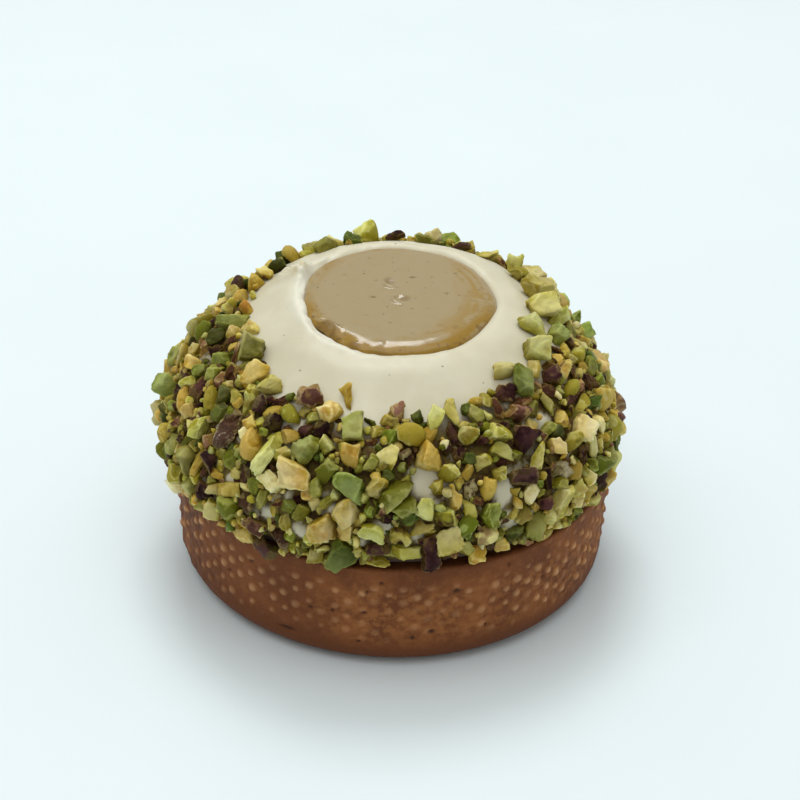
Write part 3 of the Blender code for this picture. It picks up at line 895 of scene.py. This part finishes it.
def cut_planes(shape, half, draw):
    """Outward directions and distances of the cuts that shape a piece."""
    cuts = [(axis, side) for axis in range(3) for side in (1, -1)]
    if shape == "knob":
        cuts = [(2, -1), (0, draw.choice((1, -1)))]
    lean = math.tan(math.radians(NUT_SHAPES[shape].lean))
    normals, reaches = [], []
    for axis, side in cuts:
        normal = np.array([draw.uniform(-lean, lean) for other in range(3)])
        normal[axis] = side
        normals.append(normal / np.linalg.norm(normal))
        reaches.append(half[axis] * draw.uniform(0.75, 1.1))
    for corner in range(NUT_SHAPES[shape].corners):
        normal = np.array([draw.choice((-1, 1)) * draw.uniform(0.35, 1.0) for axis in range(3)])
        normals.append(normal / np.linalg.norm(normal))
        reaches.append(np.abs(normals[-1] * half).sum() * draw.uniform(0.52, 0.78))
    return np.array(normals), np.array(reaches)


def cut_piece(shape, skin_out, sphere, draw):
    """One piece of the kernel, in a box from -1 to 1, with its skin, facets and edges marked."""
    form = NUT_SHAPES[shape]
    ways, triangles = sphere
    half = np.array([1.0, form.wide, form.deep]) * CUT_HALF_LENGTH
    turn = np.eye(3)
    middle = np.array([draw.uniform(-0.5, 0.5) * KERNEL[0], 0.0, 0.0])
    if skin_out or shape == "knob":
        middle[2] = KERNEL[2] * math.sqrt(1 - (middle[0] / KERNEL[0]) ** 2) - half[2] * draw.uniform(0.5, 0.9)
    else:
        turn = np.array(Matrix.Rotation(draw.uniform(0, 6.3), 3, drawn_vector(1, draw)))
        middle = np.array([draw.uniform(-0.62, 0.62) * side for side in KERNEL])
    normals, reaches = cut_planes(shape, half, draw)
    place = np.array([draw.randrange(90) for axis in range(3)])
    bent = ways + FACET_BEND * form.rough * vector_noise(ways + place, 0.8, 61)
    cut = np.maximum(bent @ normals.T, 0) / reaches
    # Where each way out of the piece's middle meets the kernel's skin
    along, start = (ways @ turn) / KERNEL, middle / KERNEL
    square, cross, rest = (along**2).sum(1), along @ start, (start**2).sum() - 1
    skin_cut = square / (np.sqrt(cross**2 - square * rest) - cross)
    nearness = np.concatenate([cut, skin_cut[:, None]], axis=1)
    ranked = np.sort(nearness, axis=1)
    nearest = ranked[:, -1:]
    shares = nearness / nearest
    verts = ways / (shares ** form.crisp).sum(1, keepdims=True) ** (1 / form.crisp) / nearest
    edge = smooth_step(0.80, 0.985, ranked[:, -2] / ranked[:, -1])
    skin = smooth_step(0.975, 1.02, skin_cut / np.maximum(cut.max(1), 1e-9))
    facet = shares**30 @ np.array([draw.random() for plane in range(nearness.shape[1])]) / (shares**30).sum(1)
    ratio = np.linalg.norm((verts @ turn + middle) / KERNEL, axis=1)
    lump = LUMP_HEIGHT * vector_noise(verts + place * 0.01, LUMP_SIZE, 41)
    chip = CHIP_HEIGHT * vector_noise(verts + place * 0.01, CHIP_SIZE, 51)
    calm = 1 - 0.5 * skin * (shape != "husk")
    verts = verts + (lump + chip) * (form.rough * calm)[:, None]
    for dent in range(0 if shape == "knob" else draw.choice((0, 1, 1, 2, 2))):
        spot = verts[draw.randrange(len(verts))]
        dented = hump(np.linalg.norm(verts - spot, axis=1), draw.uniform(0.0008, 0.0014))
        verts = verts - spot / np.linalg.norm(spot) * draw.uniform(0.0003, 0.0006) * dented[:, None]
    low, high = verts.min(0), verts.max(0)
    return {"verts": (2 * verts - low - high) / (high - low), "triangles": triangles, "skin": skin,
            "depth": np.clip(1.25 * (1 - ratio), 0, 1), "edge": edge * (1 - 0.4 * skin), "facet": facet}


def surface_spots(turns, angles):
    """Points on the settled dome with their outward normals."""
    step = 0.004

    def at(turn, angle):
        radius, height = dome_section(turn)
        return settle(np.stack([radius * np.cos(angle), radius * np.sin(angle), height], axis=-1))

    centre = at(turns, angles)
    normal = np.cross(at(turns, angles + step) - centre, at(turns + step, angles) - centre)
    return centre, normal / np.linalg.norm(normal, axis=-1, keepdims=True)


def camera_axes():
    """The camera's place and its right, up and backward directions."""
    back = Vector((0, -math.cos(CAMERA_ELEVATION), math.sin(CAMERA_ELEVATION)))
    level = Vector((1, 0, 0))
    upward = back.cross(level)
    right = level * math.cos(CAMERA_ROLL) + upward * math.sin(CAMERA_ROLL)
    up = upward * math.cos(CAMERA_ROLL) - level * math.sin(CAMERA_ROLL)
    return CAMERA_TARGET + back * CAMERA_DISTANCE, right, up, back


# Chopped pieces that stand out in the photograph: kind, then (x, y, long, wide, turn, shape),
# in pixels of the photograph, with the turn of the long side above the level in degrees
PLACED_NUTS = {
    "lime": (
        (307, 251, 15, 9, 10, "wedge"), (235, 278, 26, 18, 0, "cube"), (185, 348, 26, 18, 20, "wedge"),
        (190, 383, 19, 15, 0, "cube"), (269, 386, 24, 21, 30, "wedge"), (211, 399, 28, 15, 100, "knob"),
        (236, 397, 20, 12, 100, "slice"), (248, 405, 24, 13, 70, "sliver"), (201, 414, 12, 10, 0, "cube"),
        (291, 415, 22, 16, 110, "knob"), (201, 428, 25, 21, 60, "wedge"), (178, 473, 22, 18, 70, "cube"),
        (265, 456, 40, 18, 65, "wedge"), (283, 453, 19, 18, 30, "wedge"), (202, 509, 21, 13, -20, "slice"),
        (286, 521, 18, 13, 80, "wedge"), (387, 456, 28, 20, 65, "wedge"), (326, 500, 24, 12, 45, "sliver"),
        (371, 533, 26, 19, -30, "cube"), (316, 554, 16, 14, 0, "cube"), (364, 566, 18, 9, 80, "wedge"),
        (379, 560, 22, 12, 0, "slice"), (406, 553, 29, 15, -5, "slice"), (411, 433, 29, 24, 20, "knob"),
        (436, 418, 25, 15, 80, "cube"), (454, 413, 28, 15, -60, "sliver"), (468, 435, 21, 19, 0, "cube"),
        (499, 433, 23, 19, 0, "cube"), (501, 451, 25, 15, -5, "slice"), (450, 473, 20, 17, 30, "cube"),
        (483, 463, 18, 17, 0, "wedge"), (500, 473, 15, 13, 0, "cube"), (539, 456, 34, 15, 65, "wedge"),
        (607, 440, 22, 13, 80, "slice"), (577, 488, 19, 17, 40, "cube"), (611, 462, 28, 20, 70, "slice"),
        (446, 517, 22, 18, 0, "cube"), (426, 509, 21, 18, 70, "cube"), (561, 500, 31, 17, 80, "wedge"),
        (449, 541, 28, 24, 30, "cube"), (400, 536, 20, 18, 0, "wedge"), (490, 251, 28, 13, 35, "sliver"),
        (496, 259, 18, 12, 20, "cube"), (518, 258, 28, 17, 70, "wedge"), (519, 273, 19, 15, 20, "cube"),
        (534, 274, 27, 24, 30, "cube"), (538, 290, 33, 22, 30, "cube"), (557, 286, 26, 24, 0, "cube"),
        (543, 306, 30, 23, 20, "cube"), (558, 319, 32, 18, 20, "slice"), (534, 325, 31, 20, -25, "wedge"),
        (538, 350, 27, 26, 0, "cube"), (571, 389, 25, 14, 45, "knob"), (582, 405, 26, 13, 50, "slice"),
        (597, 343, 30, 15, 75, "slice"), (601, 369, 33, 15, 80, "slice"), (577, 333, 15, 12, 60, "cube"),
        (354, 500, 14, 10, 0, "wedge"), (421, 528, 24, 13, 10, "sliver"), (437, 486, 16, 12, 80, "wedge"),
    ),
    "green": (
        (325, 245, 25, 15, 30, "cube"), (275, 261, 17, 13, 20, "cube"), (212, 310, 16, 11, 0, "wedge"),
        (232, 323, 33, 17, -8, "slice"), (196, 337, 20, 13, 65, "slice"), (171, 354, 22, 19, 70, "cube"),
        (251, 348, 30, 27, 70, "cube"), (200, 371, 16, 15, 0, "cube"), (213, 374, 20, 16, 60, "cube"),
        (354, 427, 28, 21, 100, "cube"), (188, 440, 18, 15, 20, "slice"), (165, 451, 25, 17, -20, "knob"),
        (230, 460, 22, 15, 80, "slice"), (307, 450, 26, 24, 40, "cube"), (228, 511, 27, 25, 80, "knob"),
        (261, 498, 20, 13, 80, "wedge"), (301, 513, 18, 15, 60, "cube"), (326, 470, 23, 18, 40, "cube"),
        (370, 463, 18, 14, 70, "cube"), (350, 485, 36, 21, -32, "cube"), (395, 494, 38, 19, 46, "wedge"),
        (371, 508, 18, 12, 80, "wedge"), (475, 415, 22, 15, -40, "wedge"), (559, 483, 16, 13, 0, "cube"),
        (405, 507, 22, 19, 30, "cube"), (492, 514, 25, 18, 80, "cube"), (466, 527, 24, 17, 50, "wedge"),
        (535, 524, 29, 22, 70, "slice"), (424, 239, 19, 11, -10, "cube"), (579, 318, 25, 16, 80, "cube"),
        (559, 334, 24, 21, 60, "wedge"), (524, 381, 26, 24, 0, "cube"), (589, 367, 20, 19, 40, "slice"),
        (612, 379, 27, 14, 80, "slice"), (548, 404, 24, 13, -60, "wedge"), (175, 407, 14, 12, 0, "cube"),
        (548, 430, 18, 12, 50, "wedge"), (604, 398, 16, 12, 70, "slice"),
    ),
    "deep": (
        (353, 234, 22, 16, 0, "wedge"), (331, 238, 12, 10, 0, "cube"), (277, 266, 18, 13, 0, "knob"),
        (221, 295, 16, 14, 0, "cube"), (215, 336, 23, 18, 0, "cube"), (225, 396, 18, 14, 80, "cube"),
        (151, 408, 19, 9, 80, "slice"), (152, 437, 11, 9, 0, "cube"), (342, 556, 32, 28, 60, "slice"),
        (514, 534, 18, 16, 0, "cube"), (592, 402, 18, 15, 0, "cube"), (620, 430, 16, 9, 80, "slice"),
        (468, 459, 14, 11, 0, "cube"), (619, 458, 22, 8, 75, "slice"), (408, 519, 18, 12, 30, "wedge"),
    ),
    "yellow": (
        (349, 241, 11, 9, 0, "cube"), (290, 255, 24, 17, -70, "knob"), (265, 273, 20, 14, -30, "cube"),
        (225, 304, 15, 13, 60, "cube"), (206, 319, 21, 16, -60, "wedge"), (195, 351, 15, 12, 60, "cube"),
        (167, 372, 33, 17, -75, "slice"), (185, 399, 27, 16, 95, "knob"), (163, 414, 16, 12, 0, "cube"),
        (273, 413, 19, 14, 20, "knob"), (188, 411, 17, 16, 0, "cube"), (292, 436, 17, 15, 0, "cube"),
        (293, 477, 36, 27, -20, "cube"), (229, 490, 27, 15, 5, "slice"), (185, 493, 14, 13, 0, "cube"),
        (379, 488, 22, 18, 40, "wedge"), (345, 512, 26, 24, 30, "cube"), (320, 531, 29, 27, 20, "cube"),
        (345, 532, 17, 16, 0, "cube"), (390, 422, 17, 15, -40, "wedge"), (468, 471, 16, 10, 70, "wedge"),
        (561, 418, 19, 15, 100, "knob"), (557, 446, 20, 15, 0, "cube"), (562, 369, 20, 16, 60, "cube"),
        (411, 241, 10, 7, 0, "cube"), (514, 492, 12, 10, 0, "cube"),
    ),
    "golden": (
        (254, 283, 24, 16, 75, "knob"), (240, 299, 21, 18, 60, "knob"), (246, 309, 18, 11, -60, "knob"),
        (190, 360, 10, 9, 0, "knob"), (254, 374, 30, 20, 55, "wedge"), (346, 397, 26, 13, 92, "sliver"),
        (250, 423, 15, 13, 0, "cube"), (250, 444, 31, 21, 75, "knob"), (162, 415, 16, 15, 0, "knob"),
        (198, 460, 32, 12, 62, "sliver"), (350, 456, 24, 18, 85, "cube"), (431, 457, 28, 27, -30, "cube"),
        (606, 479, 21, 16, 10, "cube"), (489, 489, 22, 16, 80, "knob"), (453, 500, 19, 16, -60, "wedge"),
        (476, 554, 24, 19, 80, "wedge"), (565, 299, 21, 18, -50, "cube"), (557, 358, 12, 11, 0, "cube"),
        (216, 474, 18, 9, -30, "sliver"),
    ),
    "cream": (
        (271, 481, 22, 16, -50, "cube"), (531, 492, 21, 19, 50, "cube"), (577, 501, 14, 12, 0, "cube"),
        (488, 536, 21, 20, 0, "knob"), (583, 428, 24, 21, 50, "cube"), (578, 346, 19, 11, -30, "sliver"),
        (571, 359, 15, 13, 50, "wedge"), (505, 369, 25, 16, 15, "knob"), (336, 575, 12, 8, -60, "wedge"),
        (437, 567, 11, 8, 60, "wedge"), (246, 487, 12, 9, 0, "wedge"), (566, 511, 10, 8, 0, "cube"),
    ),
    "purple": (
        (194, 328, 18, 14, 60, "shell"), (216, 351, 17, 15, 40, "husk"), (230, 344, 23, 12, 65, "husk"),
        (260, 404, 19, 15, 80, "cube"), (283, 401, 22, 12, 20, "husk"),
        (273, 422, 21, 18, 0, "shell"), (208, 461, 22, 19, 60, "wedge"), (323, 430, 21, 19, 0, "husk"),
        (204, 491, 25, 21, 0, "husk"), (388, 517, 14, 11, 0, "cube"), (379, 549, 20, 18, 30, "wedge"),
        (453, 435, 26, 12, -70, "slice"), (526, 441, 28, 22, 65, "cube"), (458, 455, 15, 13, 0, "shell"),
        (506, 461, 21, 11, 0, "husk"), (522, 477, 31, 19, -5, "wedge"), (581, 455, 24, 18, 70, "husk"),
        (546, 480, 25, 9, -80, "sliver"), (543, 503, 17, 13, 0, "cube"), (430, 553, 38, 20, -78, "slice"),
        (396, 237, 22, 12, 0, "shell"), (461, 246, 23, 13, 5, "wedge"),
        (525, 280, 10, 8, 0, "cube"), (551, 376, 22, 18, 30, "shell"), (547, 390, 23, 14, 0, "husk"),
        (586, 382, 20, 15, -60, "husk"), (569, 401, 26, 10, 20, "slice"), (600, 452, 18, 10, 70, "husk"),
        (300, 500, 15, 12, 0, "husk"), (482, 441, 12, 9, 0, "cube"),
    ),
    "brown": (
        (236, 357, 32, 6, 68, "sliver"), (233, 374, 19, 14, 60, "husk"), (253, 526, 26, 17, -20, "wedge"),
        (399, 411, 20, 17, 50, "wedge"), (521, 413, 29, 17, -5, "knob"), (521, 402, 22, 12, 10, "husk"),
        (497, 410, 24, 9, -70, "sliver"), (478, 501, 14, 10, 0, "husk"), (612, 405, 22, 13, 75, "husk"),
        (541, 437, 12, 9, 0, "cube"), (277, 503, 13, 10, 0, "husk"), (370, 441, 14, 9, 0, "husk"),
        (311, 396, 27, 25, 0, "shell"), (506, 257, 17, 13, -60, "husk"),
    ),
    "grey": (
        (186, 371, 14, 12, 0, "husk"), (158, 404, 14, 10, 0, "husk"), (228, 429, 42, 24, 70, "husk"),
        (165, 433, 20, 13, 0, "husk"), (245, 473, 22, 10, 75, "husk"), (246, 502, 20, 15, -45, "husk"),
        (278, 538, 26, 19, -35, "husk"), (562, 470, 22, 19, 20, "husk"), (590, 478, 14, 12, 0, "husk"),
        (470, 490, 22, 14, 80, "husk"), (605, 413, 14, 9, 70, "husk"), (500, 521, 22, 8, 8, "husk"),
    ),
}

# Gaps between the nuts where bare cream shows: x, y and size in pixels of the photograph
CREAM_GAPS = ((424, 480, 12), (430, 503, 7), (503, 490, 9), (382, 525, 7), (304, 532, 6), (510, 523, 8),
              (246, 505, 5), (290, 494, 4), (333, 510, 5), (268, 510, 5), (362, 541, 4), (416, 537, 5),
              (497, 503, 6), (541, 420, 7), (297, 425, 6), (233, 478, 5), (455, 451, 5))
GAP_RISE = 0.00035

# A placed piece: its depth, and how far it stands out, faces the camera, tips, and keeps others off
PLACED_DEPTH = 1.05
PLACED_LIFT = 0.36
PLACED_FACING = 0.8
PLACED_TIP = 0.30
PLACED_REACH = 0.46
# Part of a placed piece that its neighbours hide, below the back of the dome
NUT_HIDDEN_SHARE = 0.03
HIDDEN_FROM_Y = 265

# The rest of the nuts, scattered by rule: how many, their sizes, and the share of each kind
NUT_SEED = 2207
FILLING_COUNT = 640
CRUMB_COUNT = 880
NUT_TRIES = 40
CRUMB_TRIES = 12
NUT_LARGEST = 0.0050
NUT_SMALLEST = 0.0022
# How much of its free room a piece fills, how far it tips, and how much room it keeps
NUT_FILL = 2.9
NUT_TIP = 0.42
NUT_REACH = 0.44
# How the pieces vary: their size, width, lift in parts of their depth, and chance of a husk
NUT_VARIATION = (0.9, 1.15)
NUT_LARGEST_SHARES = (0.62, 1.0)
NUT_WIDTHS = (0.65, 0.95)
NUT_LIFTS = (0.15, 0.42)
HUSK_CHANCE = 0.5
CRUMB_SHARES = (0.40, 0.85)
CRUMB_LIFTS = (0.0005, 0.0014)
PLACED_TONES = (0.25, 0.70)
# How far out from the dome a piece's colour goes from sunk to full, through its painted shade
SUNK_DEPTHS = (0.0002, 0.0029)
NUT_EDGE_RADIUS = 0.0252
NUT_EDGE_FRONT = 0.0018
NUT_EDGE_WAVE = 0.0008
NUT_TOP_TURN = math.radians(50)
NUT_FOOT_TURN = math.radians(-58)
# At the front right, the nuts stop short of the shell and leave a dark gap
GAP_ANGLE = math.radians(282)
GAP_HALF_ANGLE = math.radians(24)
GAP_FOOT_TURN = math.radians(-20)
NUT_SINK = 0.0014
NUT_SINK_WIDTH = 0.0008
NUT_RIM_GAP = 0.0001
NUT_RIM_REACH = 0.0006
NUT_RIM_LIFT = 0.0015
NUT_TOP_HEIGHT = 0.0512
KIND_SHARES = (("lime", 20), ("pale", 12), ("green", 14), ("deep", 7), ("yellow", 16), ("golden", 5),
               ("cream", 4), ("purple", 12), ("brown", 7), ("grey", 3))
SHAPE_SHARES = (("cube", 34), ("wedge", 28), ("slice", 16), ("sliver", 12), ("knob", 10))
NUT_MARKS = ("depth", "skin", "edge", "facet", "sunk", "tone", "hue")


def pick(shares, draw):
    """One name drawn by its share."""
    names, weights = zip(*shares)
    return draw.choices(names, weights)[0]


def photo_place(points):
    """Where points stand in the photograph, in pixels."""
    camera, right, up, back = [np.array(item) for item in camera_axes()]
    away = points - camera
    ahead = -(away @ back)
    return PHOTO_SIDE / 2 + FOCAL_PX * (away @ right) / ahead, PHOTO_SIDE / 2 - FOCAL_PX * (away @ up) / ahead


def dome_spots(turn_count, turns_round):
    """An even spread of points over the dome's side, with their outward normals."""
    turns, angles = np.meshgrid(np.radians(np.linspace(-60, 60, turn_count)), np.radians(turns_round))
    return surface_spots(turns.ravel(), angles.ravel())


def cream_gaps(points):
    """From 0 to 1, where bare cream shows between the nuts."""
    across, down = photo_place(points)
    stray = [lattice_noise(points.reshape(-1, 3), 0.0022, seed).reshape(across.shape) for seed in (71, 72)]
    shown = np.zeros(across.shape)
    for x, y, size in CREAM_GAPS:
        away = np.hypot(across - x + 5 * stray[0], down - y + 5 * stray[1]) / size
        shown = np.maximum(shown, 1 - smooth_step(1.0, 1.7, away))
    return shown * (points[..., 1] < 0)


def placed_nuts(draw):
    """The listed pieces, each where its pixel meets the dome."""
    spots, normals = dome_spots(260, np.arange(0, 360, 0.5))
    camera, right, up = camera_axes()[:3]
    seen = np.einsum("ij,ij->i", normals, np.array(camera) - spots) > -0.12 * CAMERA_DISTANCE
    spots, normals = spots[seen], normals[seen]
    made = []
    for kind, rows in PLACED_NUTS.items():
        for x, y, long_px, wide_px, turn, shape in rows:
            grown = METRES_PER_PX * (1 + NUT_HIDDEN_SHARE * (y > HIDDEN_FROM_Y))
            mean = math.sqrt(long_px * wide_px) * grown
            deep = NUT_SHAPES[shape].deep * mean * PLACED_DEPTH
            across, down = photo_place(spots + normals * PLACED_LIFT * deep)
            best = int(np.argmin(np.hypot(across - x, down - y)))
            normal = Vector(normals[best])
            centre = Vector(spots[best]) + normal * PLACED_LIFT * deep
            facing = PLACED_FACING * (camera - centre).normalized()
            made.append({"kind": kind, "shape": shape, "placed": True, "centre": centre,
                         "outward": (normal + facing + drawn_vector(PLACED_TIP, draw)).normalized(),
                         "way": right * math.cos(math.radians(turn)) + up * math.sin(math.radians(turn)),
                         "spot": spots[best], "normal": normal,
                         "size": (long_px * grown, wide_px * grown, deep), "reach": PLACED_REACH * mean})
    return made


def nut_edge_radius(angles):
    """How far from the axis the nuts begin, further out at the front."""
    return NUT_EDGE_RADIUS - NUT_EDGE_FRONT * np.sin(angles) + NUT_EDGE_WAVE * np.sin(3 * angles + 1.0)


def nut_foot_turn(angles):
    """How far down the dome the nuts go."""
    away = np.abs((angles - GAP_ANGLE + math.pi) % (2 * math.pi) - math.pi) / GAP_HALF_ANGLE
    return GAP_FOOT_TURN + (NUT_FOOT_TURN - GAP_FOOT_TURN) * smooth_step(0.75, 1.1, away)


def free_spot(chance, centres, reaches, tries):
    """The freest of a few drawn places on the nut-covered band, its normal and its room."""
    turns = chance.uniform(NUT_FOOT_TURN, NUT_TOP_TURN, 6 * tries)
    angles = chance.uniform(0, 2 * math.pi, 6 * tries)
    radii = dome_section(turns)[0]
    kept = (chance.random(6 * tries) < radii / DOME_RADIUS) & (radii > nut_edge_radius(angles))
    kept = np.flatnonzero(kept & (turns > nut_foot_turn(angles)))[:tries]
    spots, normals = surface_spots(turns[kept], angles[kept])
    room = (np.linalg.norm(spots[:, None] - np.array(centres)[None], axis=-1) - np.array(reaches)).min(axis=1)
    best = int(np.argmax(room))
    return spots[best], Vector(normals[best]), float(room[best])


def scattered_nuts(placed, draw):
    """The rest, each in the freest of a few drawn places and as large as its gap, then crumbs."""
    chance = np.random.default_rng(NUT_SEED)
    centres = [nut["spot"] for nut in placed]
    reaches = [nut["reach"] for nut in placed]
    # The gaps of bare cream are kept free
    front = dome_spots(121, np.arange(180, 360, 1.0))[0]
    across, down = photo_place(front)
    for x, y, size in CREAM_GAPS:
        miss = np.hypot(across - x, down - y) + 1e3 * (front[:, 1] > 0)
        centres.append(front[int(np.argmin(miss))])
        reaches.append(1.1 * size * METRES_PER_PX)
    made = []
    for index in range(FILLING_COUNT + CRUMB_COUNT):
        crumb = index >= FILLING_COUNT
        spot, normal, room = free_spot(chance, centres, reaches, CRUMB_TRIES if crumb else NUT_TRIES)
        kind = pick(KIND_SHARES, draw)
        shape = "husk" if kind in SKIN_OUT_KINDS and draw.random() < HUSK_CHANCE else pick(SHAPE_SHARES, draw)
        cap = NUT_LARGEST * draw.uniform(*NUT_LARGEST_SHARES)
        if crumb:
            size = NUT_SMALLEST * draw.uniform(*CRUMB_SHARES)
        else:
            size = min(max(NUT_FILL * room, NUT_SMALLEST), cap)
        size *= draw.uniform(*NUT_VARIATION)
        deep = NUT_SHAPES[shape].deep * size * draw.uniform(*NUT_VARIATION)
        outward = (normal + drawn_vector(NUT_TIP, draw)).normalized()
        lift = draw.uniform(*CRUMB_LIFTS) if crumb else deep * draw.uniform(*NUT_LIFTS)
        made.append({"kind": kind, "shape": shape, "placed": False, "crumb": crumb,
                     "centre": Vector(spot) + normal * lift, "outward": outward,
                     "way": drawn_vector(1, draw), "spot": spot, "normal": normal,
                     "size": (size, size * draw.uniform(*NUT_WIDTHS), deep)})
        if not crumb:
            centres.append(spot)
            reaches.append(NUT_REACH * size)
    return made


def lay_nut(nut, form, draw):
    """The piece's points and triangles where it lies, kept off the shell's rim."""
    outward = nut["outward"]
    way = (nut["way"] - outward * nut["way"].dot(outward)).normalized()
    basis = np.array(Matrix((way, outward.cross(way), outward)).transposed())
    flip = np.array([draw.choice((-1, 1)), draw.choice((-1, 1)), 1.0])
    verts = (form["verts"] * flip * np.array(nut["size"]) / 2) @ basis.T + np.array(nut["centre"])
    rim_top = SHELL_HEIGHT + NUT_RIM_GAP
    inside = np.hypot(nut["centre"].x, nut["centre"].y) < SHELL_RADIUS + NUT_RIM_REACH
    verts[:, 2] += np.clip(rim_top - verts[:, 2].min(), 0, NUT_RIM_LIFT) * inside
    verts[:, 2] -= max(verts[:, 2].max() - NUT_TOP_HEIGHT, 0)
    radius = np.hypot(verts[:, 0], verts[:, 1])
    lowest = rim_top - NUT_SINK * smooth_step(SHELL_RADIUS, SHELL_RADIUS + NUT_SINK_WIDTH, radius)
    verts[:, 2] = np.maximum(verts[:, 2], lowest)
    return verts, form["triangles"] if flip[0] * flip[1] > 0 else form["triangles"][:, ::-1]


def make_nuts():
    """All the nuts, joined into one mesh for each kind."""
    draw = random.Random(NUT_SEED)
    fine, plain, coarse = [even_sphere(count) for count in (PLACED_POINTS, FILLING_POINTS, CRUMB_POINTS)]
    forms = {}
    for shape in NUT_SHAPES:
        for skin_out in (False, True):
            for crumb, sphere, count in ((False, plain, FILLING_FORMS), (True, coarse, CRUMB_FORMS)):
                made = [cut_piece(shape, skin_out, sphere, draw) for copy in range(count)]
                forms[crumb, shape, skin_out] = made
    placed = placed_nuts(draw)
    parts = {kind: [] for kind in NUT_KINDS}
    for nut in placed + scattered_nuts(placed, draw):
        skin_out = nut["kind"] in SKIN_OUT_KINDS
        if nut["placed"]:
            form = cut_piece(nut["shape"], skin_out, fine, draw)
        else:
            form = draw.choice(forms[nut["crumb"], nut["shape"], skin_out])
        verts, triangles = lay_nut(nut, form, draw)
        tone = draw.uniform(*PLACED_TONES) if nut["placed"] else draw.random()
        sunk = 1 - smooth_step(*SUNK_DEPTHS, (verts - np.array(nut["spot"])) @ np.array(nut["normal"]))
        parts[nut["kind"]].append({**form, "verts": verts, "triangles": triangles, "sunk": sunk,
                                   "tone": np.full(len(verts), tone),
                                   "hue": np.full(len(verts), draw.random())})
    for kind, items in parts.items():
        starts = np.cumsum([0] + [len(item["verts"]) for item in items[:-1]])
        triangles = np.concatenate([item["triangles"] + start for item, start in zip(items, starts)])
        verts, *marks = [np.concatenate([item[name] for item in items]) for name in ("verts", *NUT_MARKS)]
        data = build_mesh("nuts_" + kind, verts, triangles, dict(zip(NUT_MARKS, marks)))
        add_piece("nuts_" + kind, data, nut_material(kind))


# The stage, the lights and the camera

FLOOR_SIZE = 3.0
FLOOR_PARTS = 8
WORLD_BACK = (0.985, 1.0, 0.985)
WORLD_FRONT = (0.84, 0.84, 0.83)
WORLD_STRENGTH = 0.56
LIGHT_TARGET = Vector((0, 0, 0.03))
# Each softbox: its name, place, width, depth, power and colour
LIGHTS = (("window", (-0.055, 0.41, 0.86), 0.34, 0.32, 2.6, (0.97, 0.99, 1.0)),
          ("ceiling", (-0.10, -0.10, 0.95), 1.00, 1.00, 3.75, (1.0, 1.0, 0.99)))


def make_floor():
    """A plain pale floor under the tart."""
    mesh = bmesh.new()
    bmesh.ops.create_grid(mesh, x_segments=FLOOR_PARTS, y_segments=FLOOR_PARTS, size=FLOOR_SIZE / 2)
    data = bpy.data.meshes.new("floor")
    mesh.to_mesh(data)
    mesh.free()
    floor = bpy.data.objects.new("floor", data)
    bpy.context.scene.collection.objects.link(floor)
    data.materials.append(floor_material())


def make_world():
    """Soft daylight from all round, brighter from behind and above."""
    world = bpy.data.worlds.new("studio")
    world.use_nodes = True
    made = Nodes(world.node_tree)
    behind = made.add("SeparateXYZ", "Y", {0: made.add("TexCoord", "Generated", {})})
    background = made.tree.nodes["Background"]
    made.put(background.inputs["Color"], made.blend(made.ramp(behind, -0.9, 0.7), WORLD_FRONT, WORLD_BACK))
    background.inputs["Strength"].default_value = WORLD_STRENGTH
    bpy.context.scene.world = world


def make_light(name, place, width, depth, power, colour):
    """A softbox that points at the tart."""
    light = bpy.data.lights.new(name, "AREA")
    light.shape = "RECTANGLE"
    light.size = width
    light.size_y = depth
    light.energy = power
    light.color = colour
    holder = bpy.data.objects.new(name, light)
    holder.location = place
    holder.rotation_euler = (LIGHT_TARGET - Vector(place)).to_track_quat("-Z", "Y").to_euler()
    bpy.context.scene.collection.objects.link(holder)


def make_camera():
    """The photograph's camera."""
    place, right, up, back = camera_axes()
    camera = bpy.data.cameras.new("camera")
    camera.sensor_width = SENSOR_MM
    camera.lens = FOCAL_PX * SENSOR_MM / PHOTO_SIDE
    camera.clip_start = 0.01
    camera.clip_end = 10
    holder = bpy.data.objects.new("camera", camera)
    holder.matrix_world = Matrix.Translation(place) @ Matrix((right, up, back)).transposed().to_4x4()
    bpy.context.scene.collection.objects.link(holder)
    bpy.context.scene.camera = holder


make_crust()
make_mousse()
make_praline()
make_nuts()
make_floor()
make_world()
for softbox in LIGHTS:
    make_light(*softbox)
make_camera()
bpy.context.scene.view_settings.view_transform = "Standard"
